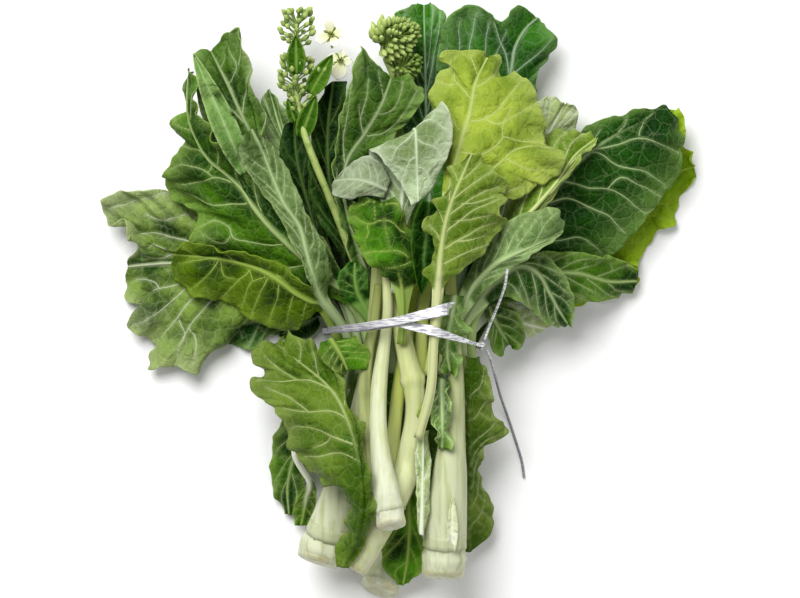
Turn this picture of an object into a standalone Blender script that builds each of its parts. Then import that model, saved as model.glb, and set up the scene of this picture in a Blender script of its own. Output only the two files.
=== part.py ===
"""A tied bunch of turnip greens lying on its back.

The leaves point to +Y, the cut stalk ends to -Y, and +Z is up from the surface it lies on. Sizes and places are in
millimetres until a mesh is made. The pieces are laid one after another, from the surface upwards: each keeps its own
form and is raised where it would sink into what already lies under it.
"""

import math
import random

import bmesh
import bpy
import numpy as np
from mathutils import Matrix, Vector

MM = 0.001
BLADE = 0.8  # thickness of a leaf blade
GAP = 1.5  # clear height between one piece and the next above it
REACH = 215  # half the side of the square that the bunch is laid in
CELL = 2.0  # cell of the height map
SAMPLE = 1.2  # spacing of the points that test one piece against another
LEAF_SLOPE = 0.5  # steepest rise of a leaf where it passes over another piece
STALK_SLOPE = 0.22  # the same for a stiff stalk
STEM_STEP = 34  # length of one row of a leaf's stem
STALK_STEP = 14  # length of one ring of a stalk

RIBBON = 6.0  # width of the tie's ribbon
RIBBON_THICKNESS = 0.5
TIE_LEFT = (-52.0, -21.5)  # where the band turns down the left side of the bunch
TIE_RIGHT = (54.0, -31.0)  # and the right side, at the knot
TIE_FLOOR = 0.7  # height of the band's run under the bunch
KNOT = (3.0, 2.6, 2.6)  # half sizes of the knot
TAIL_RADIUS = 0.9
TAIL_STEP = 4.5  # length of one ring of a tail
TAIL_SLOPE = 0.9  # steepest rise of a tail over what it lies on
TAILS = {
    "tie_tail_long": [(57.8, -34.2, 51.5), (60.5, -40, 47), (64, -52, 32), (68, -66, 15), (73, -80, 4.5),
                      (78, -95, 1), (82.5, -110, 0.9), (84, -121, 0.9)],
    "tie_tail_short": [(56.4, -27.2, 53.5), (58.5, -21, 54), (62, -12, 54), (66, -2, 56), (69.5, 9, 60), (71, 20, 62)],
}

BUD_LENGTH = 8.0
BUD_WIDTH = 4.6
GOLDEN = 2.399963  # golden angle in radians, which spreads buds evenly
PETAL_LENGTH = 11.0
PETAL_WIDTH = 8.5

COLOURS = {
    "lime": (0.36, 0.46, 0.09),
    "bright": (0.14, 0.27, 0.02),
    "leaf": (0.07, 0.16, 0.015),
    "dark": (0.02, 0.07, 0.01),
    "olive": (0.10, 0.17, 0.02),
    "pale": (0.35, 0.45, 0.28),
    "stalk": (0.62, 0.68, 0.36),
    "bud": (0.27, 0.38, 0.06),
    "petal": (0.85, 0.85, 0.78),
    "ribbon": (0.55, 0.55, 0.56),
}


def leaf(stem, rib, left, right, rise=(0, 0), ruffle=(2, 2), petiole=3.0, colour="leaf"):
    """A leaf: its stem and rib in space, its left and right margins in plan as seen walking from base to tip.

    rise is how far each margin stands over the rib, ruffle the height and number of the margin's waves, and petiole
    half the width of the stem.
    """
    return {
        "stem": stem, "rib": rib, "left": left, "right": right, "rise": rise,
        "ruffle": ruffle, "petiole": petiole, "colour": colour,
    }


def stalk(path, radii, colour="stalk", sunk=0.0):
    """A round stalk; sunk is how much of its underside is pressed flat below the tie."""
    return {"path": path, "radii": radii, "colour": colour, "sunk": sunk}


LOW_PIECES = {
    "back_stalk": stalk(
        [(-18, -198, 10), (-9, -178, 9.5), (2, -150, 8.5), (5, -100, 8), (5, -40, 8), (2, 20, 8), (0, 70, 8)],
        [10.5, 10, 9, 7.5, 6, 4.5, 3], sunk=0.9,
    ),
    "back_leaf_middle": leaf(
        stem=[(-12, -155, 4), (-15, -80, 4), (-13, -25, 5)],
        rib=[(-9, 0, 6), (-5, 50, 8), (-3, 100, 7), (-6, 148, 4)],
        left=[(-16, 2), (-50, 30), (-66, 60), (-58, 95), (-42, 125), (-16, 146)],
        right=[(-3, 2), (30, 25), (52, 55), (56, 90), (38, 125), (4, 148)],
        rise=(3, 3), ruffle=(3, 2), petiole=3.5, colour="dark",
    ),
    "inner_left_leaf": leaf(
        stem=[(-10, -80, 6)],
        rib=[(-22, -20, 7), (-32, 10, 9), (-42, 45, 12), (-52, 88, 10)],
        left=[(-38, -18), (-58, 6), (-68, 40), (-66, 70), (-58, 88)],
        right=[(-9, -20), (-7, 8), (-12, 45), (-30, 75), (-46, 90)],
        rise=(3, 2), ruffle=(2, 2), petiole=3.5, colour="dark",
    ),
    "inner_right_leaf": leaf(
        stem=[(22, -120, 6), (26, -80, 6)],
        rib=[(34, -46, 8), (42, -8, 10), (54, 26, 14), (68, 56, 16)],
        left=[(22, -44), (20, -6), (26, 30), (42, 55), (60, 62)],
        right=[(46, -44), (62, -12), (78, 18), (82, 42), (74, 56)],
        rise=(2, 3), ruffle=(2, 2), petiole=3.5, colour="dark",
    ),
    "top_leaf": leaf(
        stem=[(14, -140, 6), (16, -70, 6), (18, -25, 6), (20, 20, 10)],
        rib=[(20, 60, 14), (18, 110, 20), (17, 155, 24), (16, 198, 22)],
        left=[(14, 60), (4, 95), (-4, 130), (0, 160), (-4, 190), (4, 196), (12, 199)],
        right=[(26, 60), (36, 95), (34, 130), (27, 160), (30, 190), (26, 196), (20, 199)],
        rise=(4, -4), ruffle=(2, 2), colour="leaf",
    ),
    "top_right_leaf": leaf(
        stem=[(26, -150, 6), (30, -70, 6), (32, -25, 7), (42, 20, 12)],
        rib=[(50, 60, 18), (62, 105, 28), (73, 145, 34), (77, 168, 34), (86, 184, 28), (92, 189, 24)],
        left=[(45, 62), (40, 85), (31, 110), (24, 135), (25, 160), (30, 187), (46, 197), (60, 193), (68, 185),
              (77, 197), (88, 193)],
        right=[(55, 60), (66, 82), (76, 102), (86, 120), (91, 138), (92, 152), (100, 164), (106, 172), (101, 180),
               (96, 186), (92, 190)],
        rise=(6, -8), ruffle=(3, 3), petiole=3.5, colour="leaf",
    ),
    "crinkled_leaf": leaf(
        stem=[(36, -110, 8), (40, -60, 8), (42, -20, 8), (56, 20, 12)],
        rib=[(76, 66, 20), (90, 92, 26), (101, 113, 30), (111, 131, 26)],
        left=[(72, 68), (81, 92), (88, 112), (91, 131), (98, 136), (106, 136)],
        right=[(81, 64), (97, 82), (110, 98), (119, 114), (119, 126), (114, 132)],
        rise=(3, -3), ruffle=(4, 3), colour="pale",
    ),
    "right_back_leaf": leaf(
        stem=[(38, -160, 5), (43, -100, 5), (45, -25, 5)],
        rib=[(50, -5, 6), (85, 28, 10), (120, 52, 14), (155, 75, 12), (199, 90, 5)],
        left=[(46, 2), (68, 42), (95, 80), (125, 108), (155, 118), (176, 125), (187, 129), (192, 118), (191, 103),
              (198, 100), (200, 95)],
        right=[(58, -9), (86, -1), (115, -3), (143, 1), (162, 12), (158, 21), (168, 35), (175, 47), (186, 50),
               (188, 66), (199, 81)],
        rise=(8, -8), ruffle=(4, 3), petiole=4, colour="bright",
    ),
    "big_right_leaf": leaf(
        stem=[(34, -130, 8), (39, -60, 8), (41, -22, 9)],
        rib=[(50, 0, 14), (74, 34, 28), (98, 66, 40), (120, 92, 44), (145, 110, 38), (181, 127, 26)],
        left=[(46, 4), (62, 36), (80, 64), (98, 88), (114, 104), (128, 116), (147, 123), (166, 127), (179, 129)],
        right=[(57, -6), (84, 8), (112, 18), (138, 28), (155, 42), (171, 62), (186, 82), (190, 102), (186, 120)],
        rise=(-8, -14), ruffle=(3, 2), petiole=4, colour="dark",
    ),
    "low_right_pale_leaf": leaf(
        stem=[(44, -60, 8), (46, -20, 8)],
        rib=[(60, -8, 10), (74, -12, 9), (86, -17, 7), (98, -20, 4)],
        left=[(60, -3), (76, -3), (91, -8), (101, -18)],
        right=[(62, -13), (71, -20), (82, -26), (94, -23)],
        rise=(2, -3), ruffle=(1.5, 2), colour="pale",
    ),
    "low_right_lobed_leaf": leaf(
        stem=[(47, -50, 10), (48, -12, 12)],
        rib=[(56, 0, 14), (63, -14, 15), (69, -24, 11), (75, -31, 6)],
        left=[(62, 2), (73, -4), (82, -14), (84, -25), (82, -33), (76, -34)],
        right=[(53, -4), (58, -12), (60, -22), (61, -32), (67, -39), (70, -29)],
        rise=(2, 2), ruffle=(2, 2), colour="bright",
    ),
    "low_right_wide_leaf": leaf(
        stem=[(48, -50, 10), (48, -16, 11)],
        rib=[(56, 2, 15), (84, 14, 20), (112, 18, 22), (138, 12, 16), (160, 12, 8)],
        left=[(53, 8), (80, 28), (108, 32), (132, 30), (150, 26), (160, 20)],
        right=[(59, -5), (84, -2), (106, -6), (128, -1), (144, 0), (156, 6)],
        rise=(4, -5), ruffle=(3, 3), petiole=3.5, colour="pale",
    ),
    "low_right_arched_leaf": leaf(
        stem=[(43, -50, 12), (43, -16, 13)],
        rib=[(56, 4, 20), (72, 18, 24), (86, 22, 26), (96, 10, 22), (104, -4, 14), (113, -17, 6)],
        left=[(55, 12), (74, 28), (94, 30), (108, 18), (115, 4), (117, -9), (115, -19)],
        right=[(60, -3), (72, 2), (80, -2), (88, -8), (96, -15), (103, -18), (110, -19)],
        rise=(3, -4), ruffle=(2, 2), colour="leaf",
    ),
    "low_left_dark_leaf": leaf(
        stem=[(-34, -130, 4), (-40, -60, 4), (-41, -24, 5)],
        rib=[(-50, -6, 5), (-78, -11, 5), (-104, -16, 3), (-127, -21, 1)],
        left=[(-55, -11), (-63, -21), (-78, -24), (-88, -24), (-98, -34), (-115, -31), (-127, -29)],
        right=[(-48, -1), (-62, 4), (-78, 6), (-92, 8), (-106, 8), (-120, 4), (-130, -8)],
        rise=(1, 2), ruffle=(1.5, 2), colour="dark",
    ),
    "left_fan_leaf": leaf(
        stem=[(-30, -150, 5), (-36, -70, 5), (-38, -22, 6)],
        rib=[(-45, -5, 9), (-80, 6, 16), (-115, 17, 20), (-150, 24, 16), (-184, 22, 6)],
        left=[(-48, -9), (-80, -8), (-108, -14), (-130, -32), (-137, -49), (-153, -45), (-169, -48), (-166, -31),
              (-184, -19), (-173, -6), (-184, 0), (-186, 12)],
        right=[(-42, 1), (-72, 18), (-104, 42), (-132, 64), (-156, 73), (-180, 73), (-199, 69), (-199, 57),
               (-187, 50), (-178, 41), (-178, 33), (-185, 28)],
        rise=(-8, 4), ruffle=(5, 3), petiole=4.5, colour="pale",
    ),
    "pointed_leaf": leaf(
        stem=[(-24, -50, 14), (-30, -20, 16)],
        rib=[(-50, 30, 22), (-66, 80, 28), (-79, 110, 32), (-88, 141, 30)],
        left=[(-54, 30), (-74, 78), (-91, 112), (-93, 132), (-89, 140)],
        right=[(-46, 32), (-58, 78), (-66, 106), (-77, 128), (-86, 139)],
        rise=(2, 4), ruffle=(1, 2), petiole=2.5, colour="pale",
    ),
    "dark_oblong_leaf": leaf(
        stem=[(-22, -40, 14), (-32, -10, 18)],
        rib=[(-52, 30, 26), (-66, 80, 34), (-70, 100, 36), (-71, 120, 34)],
        left=[(-56, 32), (-76, 78), (-81, 100), (-77, 117)],
        right=[(-48, 30), (-58, 78), (-61, 98), (-65, 116)],
        rise=(3, 3), ruffle=(1, 1), petiole=2.5, colour="dark",
    ),
    "dark_middle_leaf": leaf(
        stem=[(-18, -50, 16), (-20, -20, 18)],
        rib=[(-30, 20, 24), (-44, 60, 32), (-49, 100, 36), (-45, 146, 36)],
        left=[(-34, 20), (-56, 56), (-61, 88), (-58, 118), (-52, 142)],
        right=[(-26, 20), (-32, 56), (-34, 90), (-34, 120), (-36, 146)],
        rise=(5, 3), ruffle=(2, 2), petiole=2.5, colour="dark",
    ),
    "tall_left_leaf": leaf(
        stem=[(-22, -130, 8), (-27, -70, 8), (-29, -25, 9)],
        rib=[(-36, -2, 14), (-54, 30, 26), (-78, 70, 38), (-101, 113, 46), (-115, 143, 44), (-127, 166, 38)],
        left=[(-42, 0), (-60, 26), (-80, 54), (-104, 84), (-124, 106), (-134, 128), (-136, 150), (-137, 164),
              (-132, 168)],
        right=[(-30, 0), (-42, 24), (-58, 50), (-76, 82), (-90, 112), (-97, 140), (-104, 168), (-108, 181),
               (-119, 174)],
        rise=(6, 10), ruffle=(2, 2), petiole=3.5, colour="leaf",
    ),
    "upper_left_leaf": leaf(
        stem=[(-14, -120, 10), (-19, -60, 10), (-21, -25, 12)],
        rib=[(-30, 0, 20), (-56, 20, 32), (-90, 52, 44), (-108, 76, 48), (-130, 96, 40), (-141, 122, 30),
             (-141, 148, 22)],
        left=[(-36, -4), (-66, 6), (-98, 18), (-124, 30), (-140, 38), (-136, 56), (-150, 69), (-159, 80),
              (-152, 92), (-145, 106), (-150, 120), (-138, 131), (-143, 146), (-139, 153)],
        right=[(-28, 6), (-46, 24), (-62, 42), (-78, 60), (-92, 76), (-102, 86), (-108, 92), (-116, 100),
               (-122, 108), (-128, 117), (-133, 126), (-136, 134), (-135, 144), (-137, 152)],
        rise=(-12, 6), ruffle=(4, 4), petiole=4, colour="bright",
    ),
    "olive_left_leaf": leaf(
        stem=[(-40, -60, 14), (-42, -24, 16)],
        rib=[(-50, -5, 22), (-68, 3, 32), (-86, 16, 40), (-106, 24, 38), (-130, 28, 30), (-152, 30, 22)],
        left=[(-54, -9), (-61, -13), (-74, -20), (-90, -18), (-104, -10), (-117, -2), (-132, 1), (-141, 1), (-148, 12),
              (-153, 24)],
        right=[(-47, -2), (-54, 4), (-64, 12), (-80, 24), (-98, 30), (-116, 34), (-130, 37), (-141, 38), (-150, 36),
               (-153, 32)],
        rise=(-14, 5), ruffle=(2.5, 3), colour="olive",
    ),
    "grey_narrow_leaf": leaf(
        stem=[(-34, -60, 16), (-36, -22, 18)],
        rib=[(-52, 0, 32), (-60, 20, 44), (-66, 46, 52), (-80, 68, 56), (-89, 92, 54), (-99, 113, 48)],
        left=[(-56, 0), (-60, 12), (-68, 30), (-76, 46), (-88, 66), (-101, 82), (-107, 97), (-105, 109)],
        right=[(-48, 2), (-45, 18), (-50, 34), (-58, 50), (-67, 68), (-75, 87), (-85, 101), (-97, 114)],
        rise=(6, -6), ruffle=(1.5, 2), colour="pale",
    ),
}

MIDDLE_PIECES = {
    "centre_left_leaf": leaf(
        stem=[(-4, -50, 18), (-8, -20, 20)],
        rib=[(-22, 15, 30), (-34, 50, 44), (-38, 84, 54), (-26, 106, 58), (-14, 126, 56), (-6, 147, 48)],
        left=[(-28, 16), (-38, 42), (-44, 70), (-44, 98), (-39, 124), (-32, 150), (-27, 168), (-14, 155)],
        right=[(-18, 14), (-26, 42), (-32, 72), (-26, 92), (-8, 106), (6, 119), (16, 139), (4, 148)],
        rise=(10, -4), ruffle=(2.5, 2), colour="leaf",
    ),
    "mid_right_leaf": leaf(
        stem=[(28, -50, 18), (31, -20, 20)],
        rib=[(50, 12, 30), (76, 46, 44), (98, 70, 54), (113, 90, 56), (122, 103, 52), (131, 107, 46)],
        left=[(46, 16), (70, 56), (86, 80), (95, 103), (105, 113), (118, 112), (128, 110)],
        right=[(54, 8), (82, 44), (103, 68), (110, 80), (118, 90), (126, 99), (132, 105)],
        rise=(-6, 6), ruffle=(2, 2), colour="bright",
    ),
    "pale_mid_right_leaf": leaf(
        stem=[(36, -50, 20), (37, -18, 22)],
        rib=[(46, 4, 34), (60, 21, 46), (78, 31, 52), (95, 38, 50), (108, 45, 42)],
        left=[(42, 10), (52, 28), (64, 44), (76, 54), (90, 59), (102, 60), (109, 51)],
        right=[(50, -2), (60, 9), (72, 18), (82, 25), (92, 32), (101, 39), (108, 43)],
        rise=(-5, 4), ruffle=(2, 2), colour="pale",
    ),
    "inner_curl_leaf": leaf(
        stem=[(-12, -40, 22), (-18, -15, 24)],
        rib=[(-26, 0, 30), (-30, 12, 37), (-30, 24, 37)],
        left=[(-34, -2), (-41, 8), (-40, 18), (-34, 25)],
        right=[(-20, 2), (-21, 10), (-22, 18), (-26, 24)],
        rise=(4, 3), ruffle=(1, 1), petiole=2.5, colour="pale",
    ),
    "right_lower_leaf": leaf(
        stem=[],
        rib=[(45, -169, 8), (46, -140, 12), (47, -110, 15), (46, -80, 16), (47, -56, 16), (49, -39, 14)],
        left=[(42, -168), (38, -155), (36, -140), (34, -125), (33, -110), (32, -98), (32, -88), (33, -78),
              (35, -68), (38, -56), (42, -46), (46, -40)],
        right=[(48, -170), (58, -161), (64, -150), (60, -136), (54, -118), (54, -103), (64, -96), (72, -88),
               (63, -78), (61, -62), (58, -46), (52, -39)],
        rise=(-4, -3), ruffle=(3, 3), petiole=4, colour="leaf",
    ),
    "lower_back_leaf": leaf(
        stem=[],
        rib=[(-6, -172, 8), (0, -140, 10), (4, -100, 12), (4, -50, 14)],
        left=[(-1, -172), (20, -150), (30, -118), (34, -84), (30, -52)],
        right=[(-12, -170), (-30, -146), (-38, -115), (-40, -84), (-30, -50)],
        rise=(2, 2), ruffle=(2, 2), petiole=3.5, colour="dark",
    ),
    "bottom_dark_leaf": leaf(
        stem=[(4, -90, 8)],
        rib=[(5, -112, 8), (6, -140, 8), (6, -165, 7), (2, -193, 4)],
        left=[(10, -112), (13, -138), (15, -158), (16, -180), (5, -191)],
        right=[(1, -112), (-6, -140), (-10, -160), (-12, -177), (-2, -192)],
        rise=(2, 2), ruffle=(2, 2), petiole=2.5, colour="dark",
    ),
    "left_lower_leaf": leaf(
        stem=[(-32, -40, 10)],
        rib=[(-50, -62, 13), (-66, -92, 15), (-73, -114, 14), (-78, -138, 8), (-75, -146, 6)],
        left=[(-44, -64), (-58, -96), (-64, -118), (-67, -134), (-72, -146)],
        right=[(-58, -60), (-80, -84), (-87, -106), (-85, -132), (-77, -145)],
        rise=(3, -2), ruffle=(1.5, 2), petiole=2.5, colour="leaf",
    ),
    "small_bright_leaf": leaf(
        stem=[(-56, -84, 18), (-70, -101, 20), (-64, -112, 20)],
        rib=[(-61, -123, 18), (-64, -138, 14), (-67, -153, 10)],
        left=[(-58, -123), (-56, -134), (-58, -144), (-63, -153)],
        right=[(-63, -123), (-69, -133), (-72, -144), (-71, -153)],
        rise=(2, 1), ruffle=(1, 1), petiole=2.5, colour="bright",
    ),
}

STALKS = {
    "right_thick_stalk": stalk(
        [(28, -188, 20), (30, -160, 20), (32, -130, 20), (34, -100, 20), (36, -75, 20), (37, -50, 22), (35, -20, 24),
         (33, 20, 26)],
        [14, 14, 12.5, 9.5, 7, 5, 4.5, 3.5],
    ),
    "left_thick_stalk": stalk(
        [(-56, -179, 20), (-47, -152, 20), (-38, -125, 20), (-28, -90, 20), (-20, -50, 22), (-16, -20, 24),
         (-14, 20, 26), (-14, 50, 28)],
        [14.5, 14, 11.5, 9, 7, 6, 5, 4],
    ),
    "olive_stem": stalk(
        [(-8, -140, 20), (-6, -110, 24), (-3, -80, 26), (0, -55, 28), (5, -25, 30), (9, 10, 32)],
        [5, 5, 4.5, 4.5, 4, 3.5], "olive",
    ),
    "second_stem": stalk(
        [(8, -90, 26), (12, -60, 30), (14, -38, 32), (15, -15, 34), (18, 15, 38), (22, 40, 42)],
        [4.5, 4.2, 4, 4, 3.6, 3],
    ),
    "centre_stalk": stalk(
        [(-33, -181, 24), (-15, -152, 28), (0, -126, 32), (7, -100, 34), (10, -74, 36), (8.5, -54, 38),
         (4, -35, 40), (0, -15, 42), (-4, 13, 46), (-8, 40, 48)],
        [10.5, 10, 9, 8, 6, 7.6, 6.6, 5.6, 5, 4],
    ),
    "left_outer_stem": stalk(
        [(-15, -128, 36), (-21, -105, 38), (-23, -80, 38), (-23, -58, 38), (-21, -35, 38), (-17, -15, 40),
         (-14, 10, 42)],
        [4, 4.5, 4.5, 4.5, 4, 3.5, 3],
    ),
    "front_stalk": stalk(
        [(-5, -152, 46), (-9, -128, 46), (-13, -101, 46), (-14.5, -75, 46), (-13, -50, 46), (-10, -28, 46),
         (-8, -8, 48), (-9, 20, 48)],
        [10, 9, 6.3, 5.5, 5.2, 3.8, 3.4, 3],
    ),
}

HIGH_PIECES = {
    "crumpled_upper_leaf": leaf(
        stem=[],
        rib=[(36, 2, 34), (33, -16, 40), (31, -32, 40), (33, -48, 34)],
        left=[(42, 2), (42, -12), (41, -26), (41, -38), (38, -50)],
        right=[(30, 3), (26, -12), (25, -26), (25, -38), (27, -49)],
        rise=(-3, 2), ruffle=(3, 3), petiole=2.5, colour="leaf",
    ),
    "crumpled_lower_leaf": leaf(
        stem=[],
        rib=[(28, -53, 26), (28, -75, 26), (28, -99, 16)],
        left=[(33, -54), (34, -68), (34, -84), (32, -99)],
        right=[(22, -54), (21, -68), (21, -84), (25, -100)],
        rise=(-2, 2), ruffle=(3, 2), petiole=2.5, colour="olive",
    ),
    "torn_sheath": leaf(
        stem=[],
        rib=[(14, -156, 30), (15, -125, 34), (15, -88, 34)],
        left=[(12, -154), (11, -140), (11, -122), (10, -105), (12, -90)],
        right=[(15, -157), (19, -140), (20, -118), (20, -100), (18, -87)],
        rise=(2, -3), ruffle=(1, 2), petiole=2, colour="pale",
    ),
    "lime_leaf": leaf(
        stem=[(19, -50, 30), (24, -15, 36), (28, 30, 54)],
        rib=[(33, 70, 66), (39, 100, 76), (46, 122, 80), (50, 143, 78), (58, 160, 70)],
        left=[(28, 72), (30, 88), (34, 102), (33, 116), (29, 127), (22, 131), (22, 142), (27, 151), (34, 154),
              (29, 163), (40, 166), (50, 164), (57, 161)],
        right=[(38, 66), (60, 66), (80, 67), (92, 77), (104, 81), (108, 92), (97, 103), (96, 116), (92, 129),
               (86, 144), (69, 150), (68, 159), (60, 162)],
        rise=(-4, -8), ruffle=(3, 3), colour="lime",
    ),
    "folded_leaf": leaf(
        stem=[(-3, 4, 60), (-2, 24, 66)],
        rib=[(-1, 44, 72), (3, 80, 84), (6, 103, 94), (9, 113, 100), (10, 110, 106), (11, 92, 106), (12, 64, 96)],
        left=[(-5, 44), (-13, 66), (-21, 86), (-21, 95), (-20, 99), (-19, 98), (-11, 91), (-2, 79), (8, 62)],
        right=[(3, 44), (14, 72), (26, 96), (30, 114), (25, 129), (31, 127), (35, 107), (28, 88), (19, 68)],
        rise=(-3, -3), ruffle=(1, 1), colour="pale",
    ),
    "curling_leaf": leaf(
        stem=[(1, -30, 44), (2, -8, 48)],
        rib=[(1, 8, 54), (-2, 22, 62), (-8, 40, 66), (-13, 64, 64)],
        left=[(-6, 12), (-14, 17), (-19, 24), (-29, 37), (-32, 50), (-31, 60), (-26, 69)],
        right=[(10, 11), (16, 15), (12, 27), (9, 38), (6, 49), (2, 58), (-4, 66)],
        rise=(-6, -5), ruffle=(3, 2), colour="bright",
    ),
    "lower_lime_leaf": leaf(
        stem=[(12, -92, 46), (19, -70, 50), (21, -45, 50), (23, -15, 54)],
        rib=[(25, 8, 60), (28, 40, 72), (34, 64, 80), (47, 95, 84)],
        left=[(21, 8), (15, 17), (22, 26), (22, 40), (17, 50), (23, 57), (20, 64), (28, 68), (34, 75), (30, 86),
              (40, 89), (44, 96)],
        right=[(29, 8), (40, 18), (51, 26), (58, 35), (65, 44), (71, 52), (63, 58), (71, 65), (66, 70), (71, 76),
               (62, 84), (52, 95)],
        rise=(-3, -6), ruffle=(3, 3), colour="lime",
    ),
    "folded_side_leaf": leaf(
        stem=[],
        rib=[(-9, 72, 78), (-18, 76, 82), (-30, 79, 82), (-44, 78, 74)],
        left=[(-10, 67), (-22, 68), (-33, 66), (-42, 68), (-46, 74)],
        right=[(-6, 78), (-13, 90), (-22, 95), (-31, 90), (-41, 83)],
        rise=(-4, 4), ruffle=(1, 2), petiole=2, colour="pale",
    ),
    "front_left_leaf": leaf(
        stem=[],
        rib=[(-38, -178, 20), (-28, -156, 32), (-25, -132, 42), (-27, -108, 50), (-33, -84, 54), (-44, -62, 52),
             (-62, -46, 44), (-80, -34, 34)],
        left=[(-42, -178), (-42, -163), (-34, -150), (-32, -136), (-42, -122), (-56, -118), (-66, -104),
              (-75, -92), (-79, -76), (-99, -61), (-90, -50), (-99, -39), (-88, -29), (-77, -25)],
        right=[(-34, -179), (-24, -163), (-18, -145), (-18, -128), (-21, -112), (-26, -97), (-30, -83),
               (-35, -68), (-38, -54), (-45, -44), (-53, -35), (-59, -29), (-66, -26), (-72, -25)],
        rise=(-12, -5), ruffle=(3, 3), petiole=4, colour="leaf",
    ),
    "flap_leaf": leaf(
        stem=[],
        rib=[(-46, -27, 44), (-40, -36, 48), (-35, -47, 46)],
        left=[(-34, -26), (-25, -29), (-20, -36), (-22, -47)],
        right=[(-53, -29), (-53, -38), (-46, -46), (-36, -50)],
        rise=(2, -3), ruffle=(1.5, 2), petiole=2.5, colour="bright",
    ),
}


class Pile:
    """The height of everything laid so far over each cell of the surface."""

    def __init__(self):
        cells = int(2 * REACH / CELL)
        self.top = np.full((cells, cells), -GAP)

    def cells(self, points):
        index = ((points[:, :2] + REACH) / CELL).astype(int)
        return index[:, 0], index[:, 1]

    def shortfall(self, points):
        """How far each point lies under the lowest height that is clear there."""
        return self.top[self.cells(points)] + GAP - points[:, 2]

    def add(self, points):
        np.maximum.at(self.top, self.cells(points), points[:, 2])


def along(points, fractions):
    """Points at these fractions of the length of a smooth curve through the given points."""
    given = np.array(points, float)
    steps = np.linalg.norm(np.diff(given, axis=0), axis=1)
    ends = np.concatenate([[0], np.cumsum(steps)]) / steps.sum()
    given = np.vstack([2 * given[0] - given[1], given, 2 * given[-1] - given[-2]])
    found = []
    for fraction in fractions:
        i = min(int(np.searchsorted(ends, fraction, side="right")) - 1, len(ends) - 2)
        t = (fraction - ends[i]) / (ends[i + 1] - ends[i])
        a, b, c, d = given[i : i + 4]
        bend = (2 * a - 5 * b + 4 * c - d) * t + (3 * b - a - 3 * c + d) * t * t
        found.append(b + 0.5 * t * (c - a + bend))
    return np.array(found)


def raised(places, need, slope):
    """Lifts that meet the need at every place and fall off no faster than the slope between places."""
    apart = np.linalg.norm(places[:, None, :2] - places[None, :, :2], axis=2)
    return np.maximum((need[None, :] - slope * apart).max(axis=1), 0)


def material_of(name, colour):
    made = bpy.data.materials.new(name)
    made.use_nodes = True
    shader = made.node_tree.nodes["Principled BSDF"]
    shader.inputs["Base Color"].default_value = (*COLOURS[colour], 1)
    shader.inputs["Roughness"].default_value = 0.3 if colour == "ribbon" else 0.55
    shader.inputs["Metallic"].default_value = 0.8 if colour == "ribbon" else 0.0
    return made


def object_of(name, mesh, colour):
    """A node in the bunch's collection, from a mesh in millimetres."""
    mesh.transform(Matrix.Scale(MM, 4))
    mesh.materials.clear()
    mesh.materials.append(material_of(name, colour))
    made = bpy.data.objects.new(name, mesh)
    bpy.data.collections["turnip_greens"].objects.link(made)
    return made


def mesh_of(name, bm):
    mesh = bpy.data.meshes.new(name)
    bm.to_mesh(mesh)
    bm.free()
    return mesh


def leaf_rows(leaf):
    """Left margin, rib and right margin of every row of a leaf, stem first, and how far along the blade each is."""
    blade = len(leaf["left"])
    rib = along(leaf["rib"], np.linspace(0, 1, blade))
    left = np.array(leaf["left"], float)
    right = np.array(leaf["right"], float)
    share = np.linspace(0, 1, blade)
    if leaf["stem"]:
        path = [*leaf["stem"], tuple(rib[0])]
        length = sum(math.dist(a, b) for a, b in zip(path, path[1:]))
        rows = max(2, round(length / STEM_STEP))
        stem = along(path, np.linspace(0, 1, rows + 1))[:-1]
        heading = np.gradient(np.vstack([stem, rib[0]]), axis=0)[:-1, :2]
        heading /= np.linalg.norm(heading, axis=1)[:, None]
        side = np.stack([-heading[:, 1], heading[:, 0]], axis=1) * leaf["petiole"]
        left = np.vstack([stem[:, :2] + side, left])
        right = np.vstack([stem[:, :2] - side, right])
        rib = np.vstack([stem, rib])
        share = np.concatenate([np.full(rows, -1.0), share])
    return left, rib, right, share


def leaf_surface(leaf, seed):
    """Grid of points on the middle surface of a leaf, rows from base to tip, and half the thickness at each."""
    draw = random.Random(seed)
    left, rib, right, share = leaf_rows(leaf)
    widest = max(np.linalg.norm(left - right, axis=1))
    across = (0, 1 / 3, 2 / 3, 1) if widest > 36 else (0, 0.5, 1)
    height, waves = leaf["ruffle"]
    columns, halves = [], []
    blade = np.maximum(share, 0)
    swell = np.where(share < 0, 0, np.minimum(1, 4 * blade))
    rib_width = leaf["petiole"] * (1 - 0.75 * blade)
    for margin, rise in ((left, leaf["rise"][0]), (right, leaf["rise"][1])):
        phase = draw.uniform(0, 2 * math.pi)
        wave = height * np.sin(2 * math.pi * waves * blade + phase)
        side_columns, side_halves = [], []
        for s in across:
            place = rib.copy()
            place[:, :2] += s * (margin - rib[:, :2])
            place[:, 2] += swell * (rise * s**1.5 + wave * s * s)
            off_rib = s * np.linalg.norm(margin - rib[:, :2], axis=1) / rib_width
            thickness = BLADE + 1.5 * rib_width * np.maximum(0, 1 - off_rib**2)
            side_columns.append(place)
            side_halves.append(thickness / 2)
        columns.append(side_columns)
        halves.append(side_halves)
    points = np.stack(columns[0][:0:-1] + columns[1], axis=1)
    half = np.stack(halves[0][:0:-1] + halves[1], axis=1)
    points[..., 2] = np.maximum(points[..., 2], half)
    return points, half


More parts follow.
